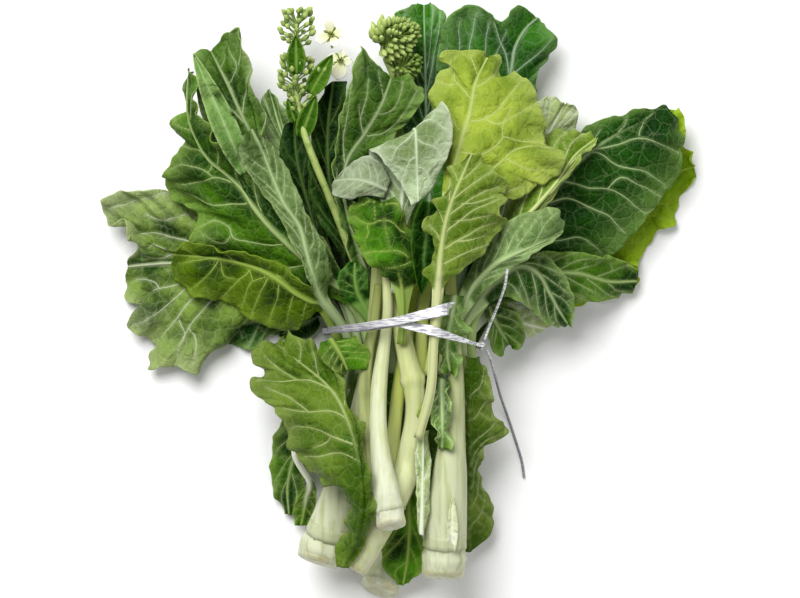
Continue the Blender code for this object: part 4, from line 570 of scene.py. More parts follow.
# Each leaf: its finish and how much lighter or darker it is made, partly its own tone and partly painted
# light and shade (darker for leaves that lie deep in the bunch); number of side veins on each half, how far
# the cells bulge between them (mm), and how far the margin ruffles (mm)
LEAF_LOOKS = {
    "back_leaf_middle": ("mid", 0.8, 6, 0.5, 1.0),
    "inner_left_leaf": ("shaded", 0.9, 6, 0.5, 1.0),
    "inner_right_leaf": ("dark", 0.75, 5, 0.5, 1.0),
    "top_leaf": ("blue_green", 1.1, 7, 0.8, 1.6),
    "top_right_leaf": ("blue_green", 1.0, 6, 0.9, 2.0),
    "crinkled_leaf": ("whitish", 1.0, 9, 3.4, 3.0),
    "right_back_leaf": ("yellow", 1.0, 7, 1.0, 2.4),
    "big_right_leaf": ("deep", 1.0, 7, 1.3, 1.4),
    "low_right_pale_leaf": ("whitish", 1.0, 4, 0.6, 1.0),
    "low_right_lobed_leaf": ("dark", 0.95, 4, 0.9, 1.6),
    "low_right_wide_leaf": ("dark", 1.0, 6, 1.0, 1.8),
    "low_right_arched_leaf": ("mid", 1.05, 5, 0.9, 1.6),
    "low_left_dark_leaf": ("deep", 1.1, 5, 0.7, 1.4),
    "left_fan_leaf": ("fan", 1.0, 7, 1.5, 3.0),
    "pointed_leaf": ("grey", 1.15, 6, 0.5, 1.0),
    "dark_oblong_leaf": ("shaded", 0.85, 5, 0.5, 0.8),
    "dark_middle_leaf": ("shaded", 1.0, 6, 0.6, 1.0),
    "tall_left_leaf": ("mid", 0.95, 7, 0.9, 1.6),
    "upper_left_leaf": ("dark", 1.0, 7, 1.4, 2.8),
    "olive_left_leaf": ("olive", 1.0, 7, 1.0, 1.8),
    "grey_narrow_leaf": ("grey", 1.0, 7, 0.6, 1.2),
    "centre_left_leaf": ("mid", 0.95, 7, 1.1, 2.2),
    "mid_right_leaf": ("light", 1.1, 6, 0.8, 1.6),
    "pale_mid_right_leaf": ("grey", 1.1, 6, 0.8, 1.6),
    "inner_curl_leaf": ("shaded", 1.4, 3, 0.6, 0.9),
    "right_lower_leaf": ("soft", 0.97, 7, 1.0, 2.4),
    "lower_back_leaf": ("dark", 0.9, 6, 0.6, 1.2),
    "bottom_dark_leaf": ("bright", 1.1, 4, 1.0, 1.8),
    "left_lower_leaf": ("dark", 1.0, 4, 0.7, 1.6),
    "small_bright_leaf": ("bright", 1.1, 3, 0.6, 1.0),
    "crumpled_upper_leaf": ("mid", 1.05, 5, 2.8, 4.8),
    "crumpled_lower_leaf": ("mid", 1.1, 5, 2.8, 4.4),
    "torn_sheath": ("whitish", 1.05, 3, 0.3, 0.6),
    "lime_leaf": ("lime", 1.0, 7, 1.6, 2.4),
    "folded_leaf": ("pale", 1.0, 7, 0.6, 0.8),
    "curling_leaf": ("bright", 1.0, 5, 1.1, 3.4),
    "lower_lime_leaf": ("light", 1.0, 9, 0.9, 2.0),
    "folded_side_leaf": ("pale", 0.88, 5, 0.7, 1.0),
    "front_left_leaf": ("soft", 1.0, 7, 1.3, 2.6),
    "flap_leaf": ("bright", 0.95, 4, 0.8, 1.4),
}
# Stems that are paler than the veins of their leaf
STEM_COLOURS = {"small_bright_leaf": "#e8ebd8", "lower_lime_leaf": "#c6cb94", "right_lower_leaf": "#9fb66c"}

# A small leaf or a fold beside the blade of another: base and tip in plan, width, colours where they differ
SIDE_LEAVES = {
    "low_left_dark_leaf": ((-56, -12), (-82, -25), 20, None),
    "curling_leaf": ((19, 64), (14, 3), 20, ("#1c4a07", "#082602", "#557a32", "#4f7d1c")),
    "upper_left_leaf": ((-103, 84), (-138, 164), 17, ("#76984f", "#557a35", "#a3bd80", "#b4c98c")),
}
SIDE_HALF = 0.7  # half the thickness of such a leaf at its rib

# Leaves whose rib lies flatter than its stalk is thick
FLAT_RIBS = {
    "front_left_leaf": 0.5, "big_right_leaf": 0.6, "top_leaf": 0.6, "folded_leaf": 0.7, "curling_leaf": 0.45,
    "lower_lime_leaf": 0.8,
}

# Shares of the blade, 0 at its base and 1 at its tip, between which the pale line of a rib shows
RIB_LINES = {
    "big_right_leaf": (-1, 0.9), "curling_leaf": (-1, 0.25), "front_left_leaf": (0.42, 9),
    "right_lower_leaf": (2, 3),
}
HIDDEN_LEAVES = ("back_leaf_middle", "inner_left_leaf", "inner_right_leaf", "lower_back_leaf")
HIDDEN_FINE = 3.5  # spacing of the points of a leaf that others hide

# Main side veins of the leaves that lie open to view: their routes in plan, from the rib outwards
VEIN_ROUTES = {
    "upper_left_leaf": [
        [(-108, 76), (-117, 80), (-125.6, 82.1), (-134.3, 76.9), (-149.7, 77.2)],
        [(-125.6, 82.1), (-128.3, 85.2), (-136, 88.5), (-145.4, 90.4), (-153, 88)],
        [(-128.3, 85.2), (-127, 92.9), (-130, 98), (-137, 101)],
        [(-101, 63.6), (-112, 63.2), (-123.2, 63.9), (-136.9, 68.1), (-151, 74)],
        [(-72.8, 38.7), (-80, 36.5), (-88.2, 36.2), (-102.5, 38.8), (-112.8, 41.8), (-114.8, 49),
         (-124.1, 52.6), (-134, 49)],
        [(-112.8, 41.8), (-117, 36.7), (-127, 41), (-135, 45)],
        [(-94.3, 56.7), (-94, 64), (-97, 72), (-98, 80)],
        [(-109, 76), (-109.1, 85.2), (-112, 94)],
        [(-60, 26), (-68, 21), (-82, 21), (-96, 23)],
        [(-122, 90), (-121, 100), (-126, 108)],
        [(-132, 98), (-142, 101), (-148, 104)],
        [(-139, 112), (-147, 116), (-149, 121)],
        [(-141, 126), (-137, 130), (-136, 136)],
    ],
    "curling_leaf": [
        [(3, 44), (-4, 50.3), (-10.7, 52.9), (-16.8, 50.3), (-22, 48.9), (-28.8, 54.9)],
        [(5, 28), (-3.4, 32.8), (-10, 30.2), (-16, 32.2), (-22, 30)],
        [(-2, 61.6), (-12, 65), (-16.8, 65.7), (-22, 63), (-27, 61.6)],
        [(8, 24.8), (1.3, 22.8), (-5.4, 20), (-11, 21.4)],
        [(-10.7, 52.9), (-9.4, 46.2), (-7.4, 38.2), (-6.7, 31.5)],
        [(-16.8, 65.7), (-16, 58.2), (-16.8, 50.3)],
        [(-22, 48.9), (-21, 42), (-23, 36)],
    ],
    "lower_lime_leaf": [
        [(26.6, 22), (44, 31), (59, 37)],
        [(27.2, 31), (45, 43), (62, 50)],
        [(28.8, 43), (46, 57), (66, 66)],
        [(31.5, 54), (48, 67), (66, 74)],
        [(34.5, 65), (48, 76), (61, 83)],
        [(39.5, 77), (47, 84), (53, 91)],
        [(38, 37.5), (46, 38), (56, 42)],
        [(38, 51), (47, 52), (58, 56)],
        [(40, 62), (50, 63), (62, 68)],
        [(26.5, 20), (21, 24)],
        [(28, 37), (24, 44), (20, 48)],
        [(30, 49), (26.5, 56), (23, 62)],
        [(34, 63), (32, 70), (31, 78)],
        [(39, 76), (36.5, 82), (34, 87)],
    ],
    "tall_left_leaf": [
        [(-101.8, 113.4), (-108, 128), (-114.6, 145.1), (-121.5, 155.3), (-125.5, 165)],
        [(-105, 120), (-106.1, 125.4), (-101, 145.1), (-100.1, 157), (-103, 166)],
        [(-114.6, 145.1), (-109.5, 150.2), (-107.9, 157), (-112.9, 163.9), (-116, 170)],
        [(-107.9, 157), (-106.1, 167.3), (-108.5, 176)],
        [(-100.1, 157), (-96, 157), (-95, 160)],
        [(-121.5, 155.3), (-117, 158), (-117, 163)],
        [(-98, 104), (-92, 112), (-88, 124)],
        [(-104, 118), (-116, 130), (-127, 140), (-134, 154)],
    ],
    "olive_left_leaf": [
        [(-76, 9), (-81.5, 15.7), (-88.2, 14.1), (-98.4, 12.6), (-102.5, 5.4), (-106, -4)],
        [(-98.4, 12.6), (-101, 18.8), (-104, 23)],
        [(-99.5, 20.8), (-105, 15), (-110.8, 10.5), (-121, 0)],
        [(-121, 26.5), (-129.2, 15.7), (-142.6, 6)],
        [(-121, 25), (-118.9, 14.7), (-112, 13.5)],
        [(-81.5, 14.7), (-81.5, 4.4), (-87.2, -15)],
        [(-88.2, 14.1), (-95.3, -0.7), (-98.4, -11)],
        [(-70, 4), (-72, 0), (-75.9, -14)],
        [(-60, 0), (-63.6, -4), (-65.7, -14)],
        [(-124, 28), (-137.4, 25.9), (-149, 24)],
        [(-136, 28), (-141, 33), (-146, 35)],
        [(-112, 26), (-118, 31), (-126, 35)],
    ],
    "left_fan_leaf": [
        [(-100, 14), (-120, 42), (-136.4, 55.7), (-149.7, 56.1), (-160, 53.6), (-171, 57)],
        [(-118, 40), (-140, 66), (-160, 71), (-167.2, 68.5), (-180.5, 64.4), (-196, 61)],
        [(-112, 17), (-128, 32), (-141.5, 38.7), (-152.8, 41.3), (-164.1, 44.4), (-176, 44)],
        [(-128, 20), (-140, 27), (-153.3, 30), (-160, 27.5), (-174, 30)],
        [(-132, 20), (-149.7, 10), (-162, 7.4), (-168.2, 4.4), (-173.3, -1.5)],
        [(-120, 17), (-134, 14), (-145.1, 7), (-153.8, -0.7), (-167.2, -11), (-181, -17)],
        [(-112, 16), (-126, 12), (-139.5, 1.3), (-149.7, -12.1), (-160, -24.3), (-164, -34)],
        [(-104, 13), (-116, 8), (-127.2, -1.7), (-142.6, -19.2), (-149.7, -36.6), (-152, -43)],
        [(-142.6, -19.2), (-137, -31.5), (-140.5, -42)],
        [(-149.7, -12.1), (-144, -20), (-146, -28)],
        [(-80, 6), (-92, -2), (-104, -6)],
        [(-153.3, 30), (-160, 35), (-168, 36)],
        [(-162, 7.4), (-170, 14), (-178, 13)],
    ],
    "big_right_leaf": [
        [(110, 79), (125, 75), (140, 74), (152, 67), (165, 57), (170, 60)],
        [(140, 74), (148, 82), (162, 76), (176, 68)],
        [(122, 95), (130, 99), (148, 88), (162, 87), (180, 75)],
        [(130, 100), (145, 103), (160, 108), (175, 104), (188, 98)],
        [(160, 108), (162, 116), (170, 124)],
        [(95, 62), (110, 68), (130, 60), (140, 55), (152, 44)],
        [(86, 50), (100, 39), (115, 41), (125, 40), (137, 31)],
        [(70, 30), (84, 28), (100, 20), (112, 20)],
        [(74, 36), (74, 48), (80, 58)],
        [(92, 60), (92, 72), (100, 86)],
        [(108, 78), (108, 90), (116, 102)],
        [(124, 94), (128, 104), (134, 114)],
        [(146, 108), (150, 116), (152, 122)],
    ],
    "front_left_leaf": [
        [(-27, -106), (-40, -101), (-50, -104), (-62, -104)],
        [(-29, -96), (-45, -90), (-56, -86), (-66, -84), (-74, -86)],
        [(-33, -84), (-37, -77), (-45, -74), (-60, -75), (-77, -73)],
        [(-60, -75), (-72, -66), (-88, -60)],
        [(-42, -65), (-45, -60), (-58, -55), (-70, -53), (-80, -47), (-90, -38)],
        [(-70, -53), (-80, -56), (-93, -56)],
        [(-56, -51), (-54, -44), (-58, -36)],
        [(-68, -42), (-66, -34), (-68, -28)],
        [(-76, -36), (-84, -32), (-87, -30)],
        [(-38, -72), (-36, -66), (-36, -62)],
        [(-45, -90), (-50, -96), (-56, -98)],
    ],
    "lime_leaf": [
        [(45, 118), (57, 119), (66, 127), (73, 136), (82, 146)],
        [(57, 119), (64, 115), (76, 122), (90, 130)],
        [(38, 98), (50, 95), (60, 98), (68, 106), (67, 115), (73, 126)],
        [(68, 106), (80, 106), (95, 104)],
        [(35, 82), (50, 80), (62, 85), (70, 94), (85, 102), (100, 98)],
        [(70, 92), (84, 86), (98, 84)],
        [(48, 133), (38, 142), (34, 150), (36, 160)],
        [(38, 142), (31, 141), (25, 144)],
        [(50, 140), (60, 146), (66, 154)],
        [(42, 110), (36, 116), (32, 122)],
        [(52, 148), (48, 156), (47, 162)],
        [(34, 72), (50, 70), (66, 70), (80, 74)],
    ],
    "centre_left_leaf": [
        [(-37, 90), (-30, 100), (-26, 106)],
        [(-22, 109), (-12, 110), (-3, 117), (5, 128), (11, 138)],
        [(-24, 110), (-27, 120), (-27, 130)],
        [(-27, 120), (-22, 134), (-21, 146)],
        [(-15, 124), (-7, 124), (0, 134), (2, 144)],
        [(-36, 88), (-38, 104), (-35, 124), (-33, 144)],
        [(-38, 74), (-30, 82), (-20, 88), (-10, 98)],
        [(-36, 60), (-31, 66), (-28, 72)],
        [(-37, 66), (-41, 76), (-42, 90)],
        [(-10, 134), (-14, 144), (-14, 152)],
    ],
    "top_right_leaf": [
        [(73, 145), (72, 160), (66, 176), (64, 186)],
        [(60, 100), (58, 128), (56, 150), (66, 168), (72, 180)],
        [(56, 150), (46, 166), (49, 180), (52, 194)],
        [(54, 112), (42, 136), (34, 152), (32, 168)],
        [(77, 166), (83, 178), (90, 187)],
        [(74, 150), (84, 158), (96, 168), (101, 176)],
        [(66, 122), (78, 134), (88, 146)],
        [(56, 150), (58, 172), (60, 186)],
        [(42, 146), (40, 168), (40, 188)],
    ],
}


class Pile:
    """The height of everything laid so far over each cell of the surface."""

    def __init__(self, cell, gap):
        self.cell, self.gap = cell, gap
        self.top = np.full((int(2 * REACH / cell), int(2 * REACH / cell)), -float(gap))

    def cells(self, points):
        index = ((points[..., :2] + REACH) / self.cell).astype(int)
        return index[..., 0], index[..., 1]

    def shortfall(self, points):
        """How far each point lies under the lowest height that is clear there."""
        return self.top[self.cells(points)] + self.gap - points[..., 2]

    def add(self, points):
        np.maximum.at(self.top, self.cells(points), points[..., 2])

    def lift(self, points, slope):
        """How far each point rises so that the surface is clear and falls off no steeper than the slope."""
        need = np.full(self.top.shape, -np.inf)
        np.maximum.at(need, self.cells(points), self.shortfall(points))
        for _ in range(LIFT_STEPS):
            lower = need - slope * self.cell
            for axis in (0, 1):
                for shift in (-1, 1):
                    need = np.maximum(need, np.roll(lower, shift, axis))
        return np.maximum(need[self.cells(points)], 0)


def along(points, fractions):
    """Points at these fractions of the length of a smooth curve through the given points."""
    given = np.array(points, float)
    steps = np.linalg.norm(np.diff(given, axis=0), axis=1)
    ends = np.concatenate([[0], np.cumsum(steps)]) / steps.sum()
    given = np.vstack([2 * given[0] - given[1], given, 2 * given[-1] - given[-2]])
    found = []
    for fraction in fractions:
        i = min(int(np.searchsorted(ends, fraction, side="right")) - 1, len(ends) - 2)
        t = (fraction - ends[i]) / (ends[i + 1] - ends[i])
        a, b, c, d = given[i : i + 4]
        bend = (2 * a - 5 * b + 4 * c - d) * t + (3 * b - a - 3 * c + d) * t * t
        found.append(b + 0.5 * t * (c - a + bend))
    return np.array(found)


def raised(places, need, slope):
    """Lifts that meet the need at every place and fall off no faster than the slope between places."""
    apart = np.linalg.norm(places[:, None, :2] - places[None, :, :2], axis=2)
    return np.maximum((need[None, :] - slope * apart).max(axis=1), 0)


def mesh_of(name, bm):
    mesh = bpy.data.meshes.new(name)
    bm.to_mesh(mesh)
    bm.free()
    return mesh


def leaf_rows(leaf):
    """Left margin, rib and right margin of each row of a leaf, stem first, and its share along the blade."""
    blade = len(leaf["left"])
    rib = along(leaf["rib"], np.linspace(0, 1, blade))
    left = np.array(leaf["left"], float)
    right = np.array(leaf["right"], float)
    share = np.linspace(0, 1, blade)
    if leaf["stem"]:
        path = [*leaf["stem"], tuple(rib[0])]
        length = sum(math.dist(a, b) for a, b in zip(path, path[1:]))
        rows = max(2, round(length / STEM_STEP))
        stem = along(path, np.linspace(0, 1, rows + 1))[:-1]
        heading = np.gradient(np.vstack([stem, rib[0]]), axis=0)[:-1, :2]
        heading /= np.linalg.norm(heading, axis=1)[:, None]
        side = np.stack([-heading[:, 1], heading[:, 0]], axis=1) * leaf["petiole"]
        left = np.vstack([stem[:, :2] + side, left])
        right = np.vstack([stem[:, :2] - side, right])
        rib = np.vstack([stem, rib])
        share = np.concatenate([np.full(rows, -1.0), share])
    return left, rib, right, share


def leaf_surface(leaf, seed):
    """Points of the middle surface of a leaf in rows from base to tip, and half the thickness at each."""
    draw = random.Random(seed)
    left, rib, right, share = leaf_rows(leaf)
    widest = max(np.linalg.norm(left - right, axis=1))
    across = (0, 1 / 3, 2 / 3, 1) if widest > 36 else (0, 0.5, 1)
    height, waves = leaf["ruffle"]
    columns, halves = [], []
    blade = np.maximum(share, 0)
    swell = np.where(share < 0, 0, np.minimum(1, 4 * blade))
    rib_width = leaf["petiole"] * (1 - 0.75 * blade)
    for margin, rise in ((left, leaf["rise"][0]), (right, leaf["rise"][1])):
        phase = draw.uniform(0, 2 * math.pi)
        wave = height * np.sin(2 * math.pi * waves * blade + phase)
        side_columns, side_halves = [], []
        for s in across:
            place = rib.copy()
            place[:, :2] += s * (margin - rib[:, :2])
            place[:, 2] += swell * (rise * s**1.5 + wave * s * s)
            off_rib = s * np.linalg.norm(margin - rib[:, :2], axis=1) / rib_width
            thickness = BLADE + 1.5 * rib_width * np.maximum(0, 1 - off_rib**2)
            side_columns.append(place)
            side_halves.append(thickness / 2)
        columns.append(side_columns)
        halves.append(side_halves)
    points = np.stack(columns[0][:0:-1] + columns[1], axis=1)
    half = np.stack(halves[0][:0:-1] + halves[1], axis=1)
    points[..., 2] = np.maximum(points[..., 2], half)
    return points, half


def sheet_mesh(points):
    """Triangulated grid of faces through a grid of points, with each vertex's place in the grid."""
    rows, columns = points.shape[:2]
    bm = bmesh.new()
    bmesh.ops.create_grid(bm, x_segments=columns - 1, y_segments=rows - 1, size=1)
    order = []
    for vertex in bm.verts:
        column = round((vertex.co.x + 1) / 2 * (columns - 1))
        row = round((vertex.co.y + 1) / 2 * (rows - 1))
        order.append((row, column))
    for vertex, place in zip(bm.verts, order):
        vertex.co = points[place]
    bmesh.ops.triangulate(bm, faces=bm.faces, quad_method="SHORT_EDGE")
    return bm, order


def face_samples(places, half, faces):
    """Points spread over the triangles, their owners' indices, and the half thickness upright there."""
    spots, owners, uprights = [], [], []
    for number, face in enumerate(faces):
        corners = places[face]
        normal = np.cross(corners[1] - corners[0], corners[2] - corners[0])
        lean = max(abs(normal[2]) / (np.linalg.norm(normal) + 1e-9), 0.35)
        longest = max(np.linalg.norm(corners - np.roll(corners, 1, axis=0), axis=1))
        steps = max(1, math.ceil(longest / SAMPLE))
        i, j = np.meshgrid(np.arange(steps + 1), np.arange(steps + 1))
        inside = i + j <= steps
        weights = np.stack([i[inside], j[inside], steps - i[inside] - j[inside]], axis=1) / steps
        spots.append(weights @ corners)
        uprights.append(weights @ half[face] / lean)
        owners.append(np.full(len(weights), number))
    return np.concatenate(spots), np.concatenate(owners), np.concatenate(uprights)


def lay_leaf(pile, leaf, seed):
    """The grid of a leaf of the solids as it lies on the pile, and the number of rows in its stem."""
    points, half = leaf_surface(leaf, seed)
    bm, order = sheet_mesh(points)
    faces = np.array([[vertex.index for vertex in face.verts] for face in bm.faces])
    bm.free()
    places = np.array([points[place] for place in order])
    halves = np.array([half[place] for place in order])
    spots, owners, uprights = face_samples(places, halves, faces)
    under = spots - np.stack([0 * uprights, 0 * uprights, uprights], axis=1)
    short = np.full(len(faces), -np.inf)
    np.maximum.at(short, owners, pile.shortfall(under))
    need = np.full(len(places), -np.inf)
    for corner in range(3):
        np.maximum.at(need, faces[:, corner], short)
    places[:, 2] += raised(places, need, LEAF_SLOPE)
    spots, _, uprights = face_samples(places, halves, faces)
    pile.add(spots + np.stack([0 * uprights, 0 * uprights, uprights], axis=1))
    laid = np.zeros_like(points)
    for place, position in zip(order, places):
        laid[place] = position
    return laid, len(points) - len(leaf["left"])


def tube_samples(path, radii, side):
    """Points over the lower (side -1) or upper (side 1) half of a tube, and the path segment of each."""
    spots, owners = [], []
    for i in range(len(path) - 1):
        steps = max(2, math.ceil(math.dist(path[i], path[i + 1]) / SAMPLE))
        heading = path[i + 1] - path[i]
        flat = max(np.linalg.norm(heading[:2]), 1e-6)
        sideways = np.array([-heading[1], heading[0], 0]) / flat
        for t in np.linspace(0, 1, steps + 1):
            centre = path[i] * (1 - t) + path[i + 1] * t
            radius = radii[i] * (1 - t) + radii[i + 1] * t
            count = max(3, math.ceil(2 * radius / SAMPLE))
            for off in np.linspace(-1, 1, count):
                up = np.array([0, 0, side * math.sqrt(1 - off * off)])
                spots.append(centre + radius * (off * sideways + up))
                owners.append(i)
    return np.array(spots), np.array(owners)


def stalk_path(stalk):
    """Close points along a stalk and the radius at each."""
    lengths = [math.dist(a, b) for a, b in zip(stalk["path"], stalk["path"][1:])]
    count = max(4, round(sum(lengths) / STALK_STEP))
    fractions = np.linspace(0, 1, count + 1)
    ends = np.concatenate([[0], np.cumsum(lengths)]) / sum(lengths)
    return along(stalk["path"], fractions), np.interp(fractions, ends, stalk["radii"])


def settle_path(pile, path, radii, slope):
    """The path raised to lie clear of the pile, which the tube is then added to."""
    spots, owners = tube_samples(path, radii, -1)
    short = np.full(len(path) - 1, -np.inf)
    np.maximum.at(short, owners, pile.shortfall(spots))
    need = np.maximum(np.append(short, -np.inf), np.append(-np.inf, short))
    path = path.copy()
    path[:, 2] += raised(path, need, slope)
    pile.add(tube_samples(path, radii, 1)[0])
    return path


def tie_y(x):
    """The band's place along the bunch, which runs a little askew."""
    share = (x - TIE_LEFT[0]) / (TIE_RIGHT[0] - TIE_LEFT[0])
    return TIE_LEFT[1] + share * (TIE_RIGHT[1] - TIE_LEFT[1])


def band_y(x):
    """The same for its run over the bunch."""
    return np.interp(x, *BAND_BOW)


def lay_tie_underside(pile):
    """The run of the band under the bunch, kept free for it."""
    xs = np.arange(TIE_LEFT[0] - 3, TIE_RIGHT[0] + 3, 1.0)
    for off in np.arange(-RIBBON / 2 - 2, RIBBON / 2 + 2, 1.0):
        spots = np.stack([xs, tie_y(xs) + off, np.full(len(xs), TIE_FLOOR + RIBBON_THICKNESS)], axis=1)
        pile.add(spots)


def hull_over(xs, heights):
    """The taut line over a row of heights: the corners of its upper hull."""
    corners = []
    for x, z in zip(xs, heights):
        while len(corners) > 1:
            (ax, az), (bx, bz) = corners[-2:]
            if (bx - ax) * (z - az) - (bz - az) * (x - ax) < 0:
                break
            corners.pop()
        corners.append((x, z))
    return corners


def taut_line(pile, xs, ys):
    """Corners along X and Z of the taut line of the ribbon that passes over the pile at these places."""
    heights = np.zeros(len(xs))
    for off in np.arange(-RIBBON / 2 - 1, RIBBON / 2 + 1.5, 1.0):
        for shift in (-3, -1.5, 0, 1.5, 3):
            spots = np.stack([xs + shift, ys + off, np.zeros(len(xs))], axis=1)
            heights = np.maximum(heights, pile.shortfall(spots))
    return hull_over(xs, heights + 0.3)


def add_band(pile, top, band, rise):
    """Adds the band's run over the bunch to the pile; band gives its place along Y."""
    xs = np.arange(TIE_LEFT[0], TIE_RIGHT[0], 0.8)
    heights = np.interp(xs, *zip(*top)) + rise
    for off in np.arange(-RIBBON / 2, RIBBON / 2 + 0.5, 1.0):
        pile.add(np.stack([xs, band(xs) + off, heights], axis=1))


def lay_coarse_tie(pile):
    """Adds the band of the solids to their pile and gives the place of its knot."""
    xs = np.linspace(TIE_LEFT[0], TIE_RIGHT[0], 105)
    top = taut_line(pile, xs, tie_y(xs))
    add_band(pile, top, tie_y, 0.3)
    return np.array([TIE_RIGHT[0], TIE_RIGHT[1], top[-1][1] - 2])


def distances(line):
    """How far along a line each of its points is from the first."""
    return np.append(0, np.cumsum(np.linalg.norm(np.diff(line, axis=0), axis=1)))


def srgb(text):
    """A linear colour from sRGB hex digits."""
    parts = [int(text[i : i + 2], 16) / 255 for i in (1, 3, 5)]
    return tuple(c / 12.92 if c <= 0.04045 else ((c + 0.055) / 1.055) ** 2.4 for c in parts)


def add_node(tree, kind, settings=None, links=None):
    """A node with its settings by name, its input values by name or number, and links from other sockets."""
    node = tree.nodes.new("ShaderNode" + kind)
    for key, value in (settings or {}).items():
        setattr(node, key, value)
    for key, value in (links or {}).items():
        if isinstance(value, bpy.types.NodeSocket):
            tree.links.new(value, node.inputs[key])
        else:
            node.inputs[key].default_value = value
    return node


def new_material(name, **values):
    """A material whose Principled shader has these values, its tree, shader and object coordinates."""
    made = bpy.data.materials.new(name)
    made.use_nodes = True
    tree = made.node_tree
    shader = tree.nodes["Principled BSDF"]
    for key, value in values.items():
        shader.inputs[key.replace("_", " ")].default_value = value
    place = add_node(tree, "TexCoord").outputs["Object"]
    return made, tree, shader, place


def share_of(tree, name):
    """A socket with the share that is stored at each vertex under this name."""
    return add_node(tree, "Attribute", {"attribute_name": name}).outputs["Fac"]


def add_noise(tree, place, scale, detail=2.0, roughness=0.5, output="Fac"):
    """A socket with noise of this scale."""
    links = {"Vector": place, "Scale": scale, "Detail": detail, "Roughness": roughness}
    return add_node(tree, "TexNoise", None, links).outputs[output]


def ranged(tree, value, low, high, first=0.0, last=1.0, kind="LINEAR"):
    """A socket that goes from first to last while the value goes from low to high."""
    links = {"Value": value, "From Min": low, "From Max": high, "To Min": first, "To Max": last}
    return add_node(tree, "MapRange", {"interpolation_type": kind}, links).outputs[0]


def finish_shader(tree, shader, colour, bumps=None, strength=1.0, depth=0.0):
    """Gives the shader its colour and its bumps, which are this deep in metres."""
    tree.links.new(colour, shader.inputs["Base Color"])
    if bumps:
        links = {"Height": bumps, "Strength": strength, "Distance": depth}
        tree.links.new(add_node(tree, "Bump", None, links).outputs[0], shader.inputs["Normal"])


def colour_mix(tree, share, first, second):
    """A socket that goes from the first colour to the second with the share."""
    colours = [(*srgb(c), 1) if isinstance(c, str) else c for c in (first, second)]
    links = {"Factor": share, 6: colours[0], 7: colours[1]}
    return add_node(tree, "Mix", {"data_type": "RGBA"}, links).outputs[2]


def toned(colour, tone_and_light):
    """The same hex colour, lighter or darker."""
    parts = [min(255, round(tone_and_light * int(colour[start : start + 2], 16))) for start in (1, 3, 5)]
    return "#{:02x}{:02x}{:02x}".format(*parts)


def leaf_material(name, face, mottle_and_shade, vein, rim, stem=None):
    """Fresh leaf blade: waxy and a little dull, lighter and darker in broad patches whose dark tone is partly
    painted shade of its folds, paler towards its rim, with a painted highlight on its very edge.

    The fine veins form two pale nets, one coarse and one fine and faint, whose cells bulge a little.
    """
    made, tree, shader, place = new_material(
        name, Roughness=0.42, IOR=1.45, Specular_IOR_Level=0.06, Subsurface_Weight=0.06,
        Subsurface_Radius=(0.3, 1.0, 0.15), Subsurface_Scale=0.0015,
    )
    patches = add_noise(tree, place, 26.0, 3.5, 0.55)
    # the darker mottle colour of these broad patches is partly the leaf's own tone, partly painted shade
    colour = colour_mix(tree, ranged(tree, patches, 0.42, 0.6), mottle_and_shade, face)
    # the rim's colour: a paler margin, and a painted highlight along its very edge
    colour = colour_mix(tree, share_of(tree, "rim"), colour, rim)
    vein_share = share_of(tree, "vein")
    strength = ranged(tree, vein_share, 0.3, 0.9, 0.6, 0.0)
    bend = add_noise(tree, place, 130.0, 1.0, output="Color")
    bend = add_node(tree, "VectorMath", {"operation": "MULTIPLY_ADD"}, {0: bend, 1: (0.004,) * 3, 2: place})
    normal = None
    for scale, width, share, depth in VEIN_NETS:
        links = {"Vector": bend.outputs[0], "Scale": scale}
        cells = add_node(tree, "TexVoronoi", {"feature": "DISTANCE_TO_EDGE"}, links).outputs["Distance"]
        colour = colour_mix(tree, ranged(tree, cells, 0.0, width, share, 0.0), colour, vein)
        height = ranged(tree, cells, 0.0, 0.3, kind="SMOOTHSTEP")
        links = {"Height": height, "Strength": strength, "Distance": depth}
        if normal:
            links["Normal"] = normal
        normal = add_node(tree, "Bump", None, links).outputs[0]
    colour = colour_mix(tree, vein_share, colour, vein)
    if stem:
        colour = colour_mix(tree, share_of(tree, "stem"), colour, stem)
    finish_shader(tree, shader, colour)
    tree.links.new(normal, shader.inputs["Normal"])
    return made


def stalk_material(name, low, high, streak):
    """Fresh stalk: watery and pale at the cut end, greener upwards, with fine lengthwise ribs that shine.

    Its foot has dried beige in spots.
    """
    made, tree, shader, place = new_material(
        name, Roughness=0.34, IOR=1.42, Specular_IOR_Level=0.16, Subsurface_Weight=0.12,
        Subsurface_Radius=(1.0, 1.0, 0.5), Subsurface_Scale=0.003,
    )
    height = share_of(tree, "along")
    colour = colour_mix(tree, height, low, high)
    stretched = add_node(tree, "Mapping", None, {"Vector": place, "Scale": (1.0, 0.05, 1.0)}).outputs[0]
    ribs = add_noise(tree, stretched, 260.0, 4.0)
    colour = colour_mix(tree, ranged(tree, ribs, 0.45, 0.7, 0.0, 0.6), colour, streak)
    near_foot = ranged(tree, height, 0.0, 0.09, 0.62, 0.38)
    links = {0: add_noise(tree, place, 150.0, 5.0), 1: near_foot}
    dried = add_node(tree, "Math", {"operation": "MULTIPLY"}, links).outputs[0]
    colour = colour_mix(tree, ranged(tree, dried, 0.24, 0.38, 0.0, 0.55), colour, "#b9ad74")
    finish_shader(tree, shader, colour, ribs, 0.6, 0.0009)
    return made


def cut_material():
    """Cut face of a stalk: moist pale pith that has dried a little brown at its rim."""
    _, tree, shader, place = new_material(
        "cut_pith", Roughness=0.5, IOR=1.4, Subsurface_Weight=0.2,
        Subsurface_Radius=(1.0, 1.0, 0.6), Subsurface_Scale=0.003,
    )
    grain = add_noise(tree, place, 500.0, 4.0)
    finish_shader(tree, shader, colour_mix(tree, grain, "#cfcba6", "#e4e2c8"), grain, 0.4, 0.0004)


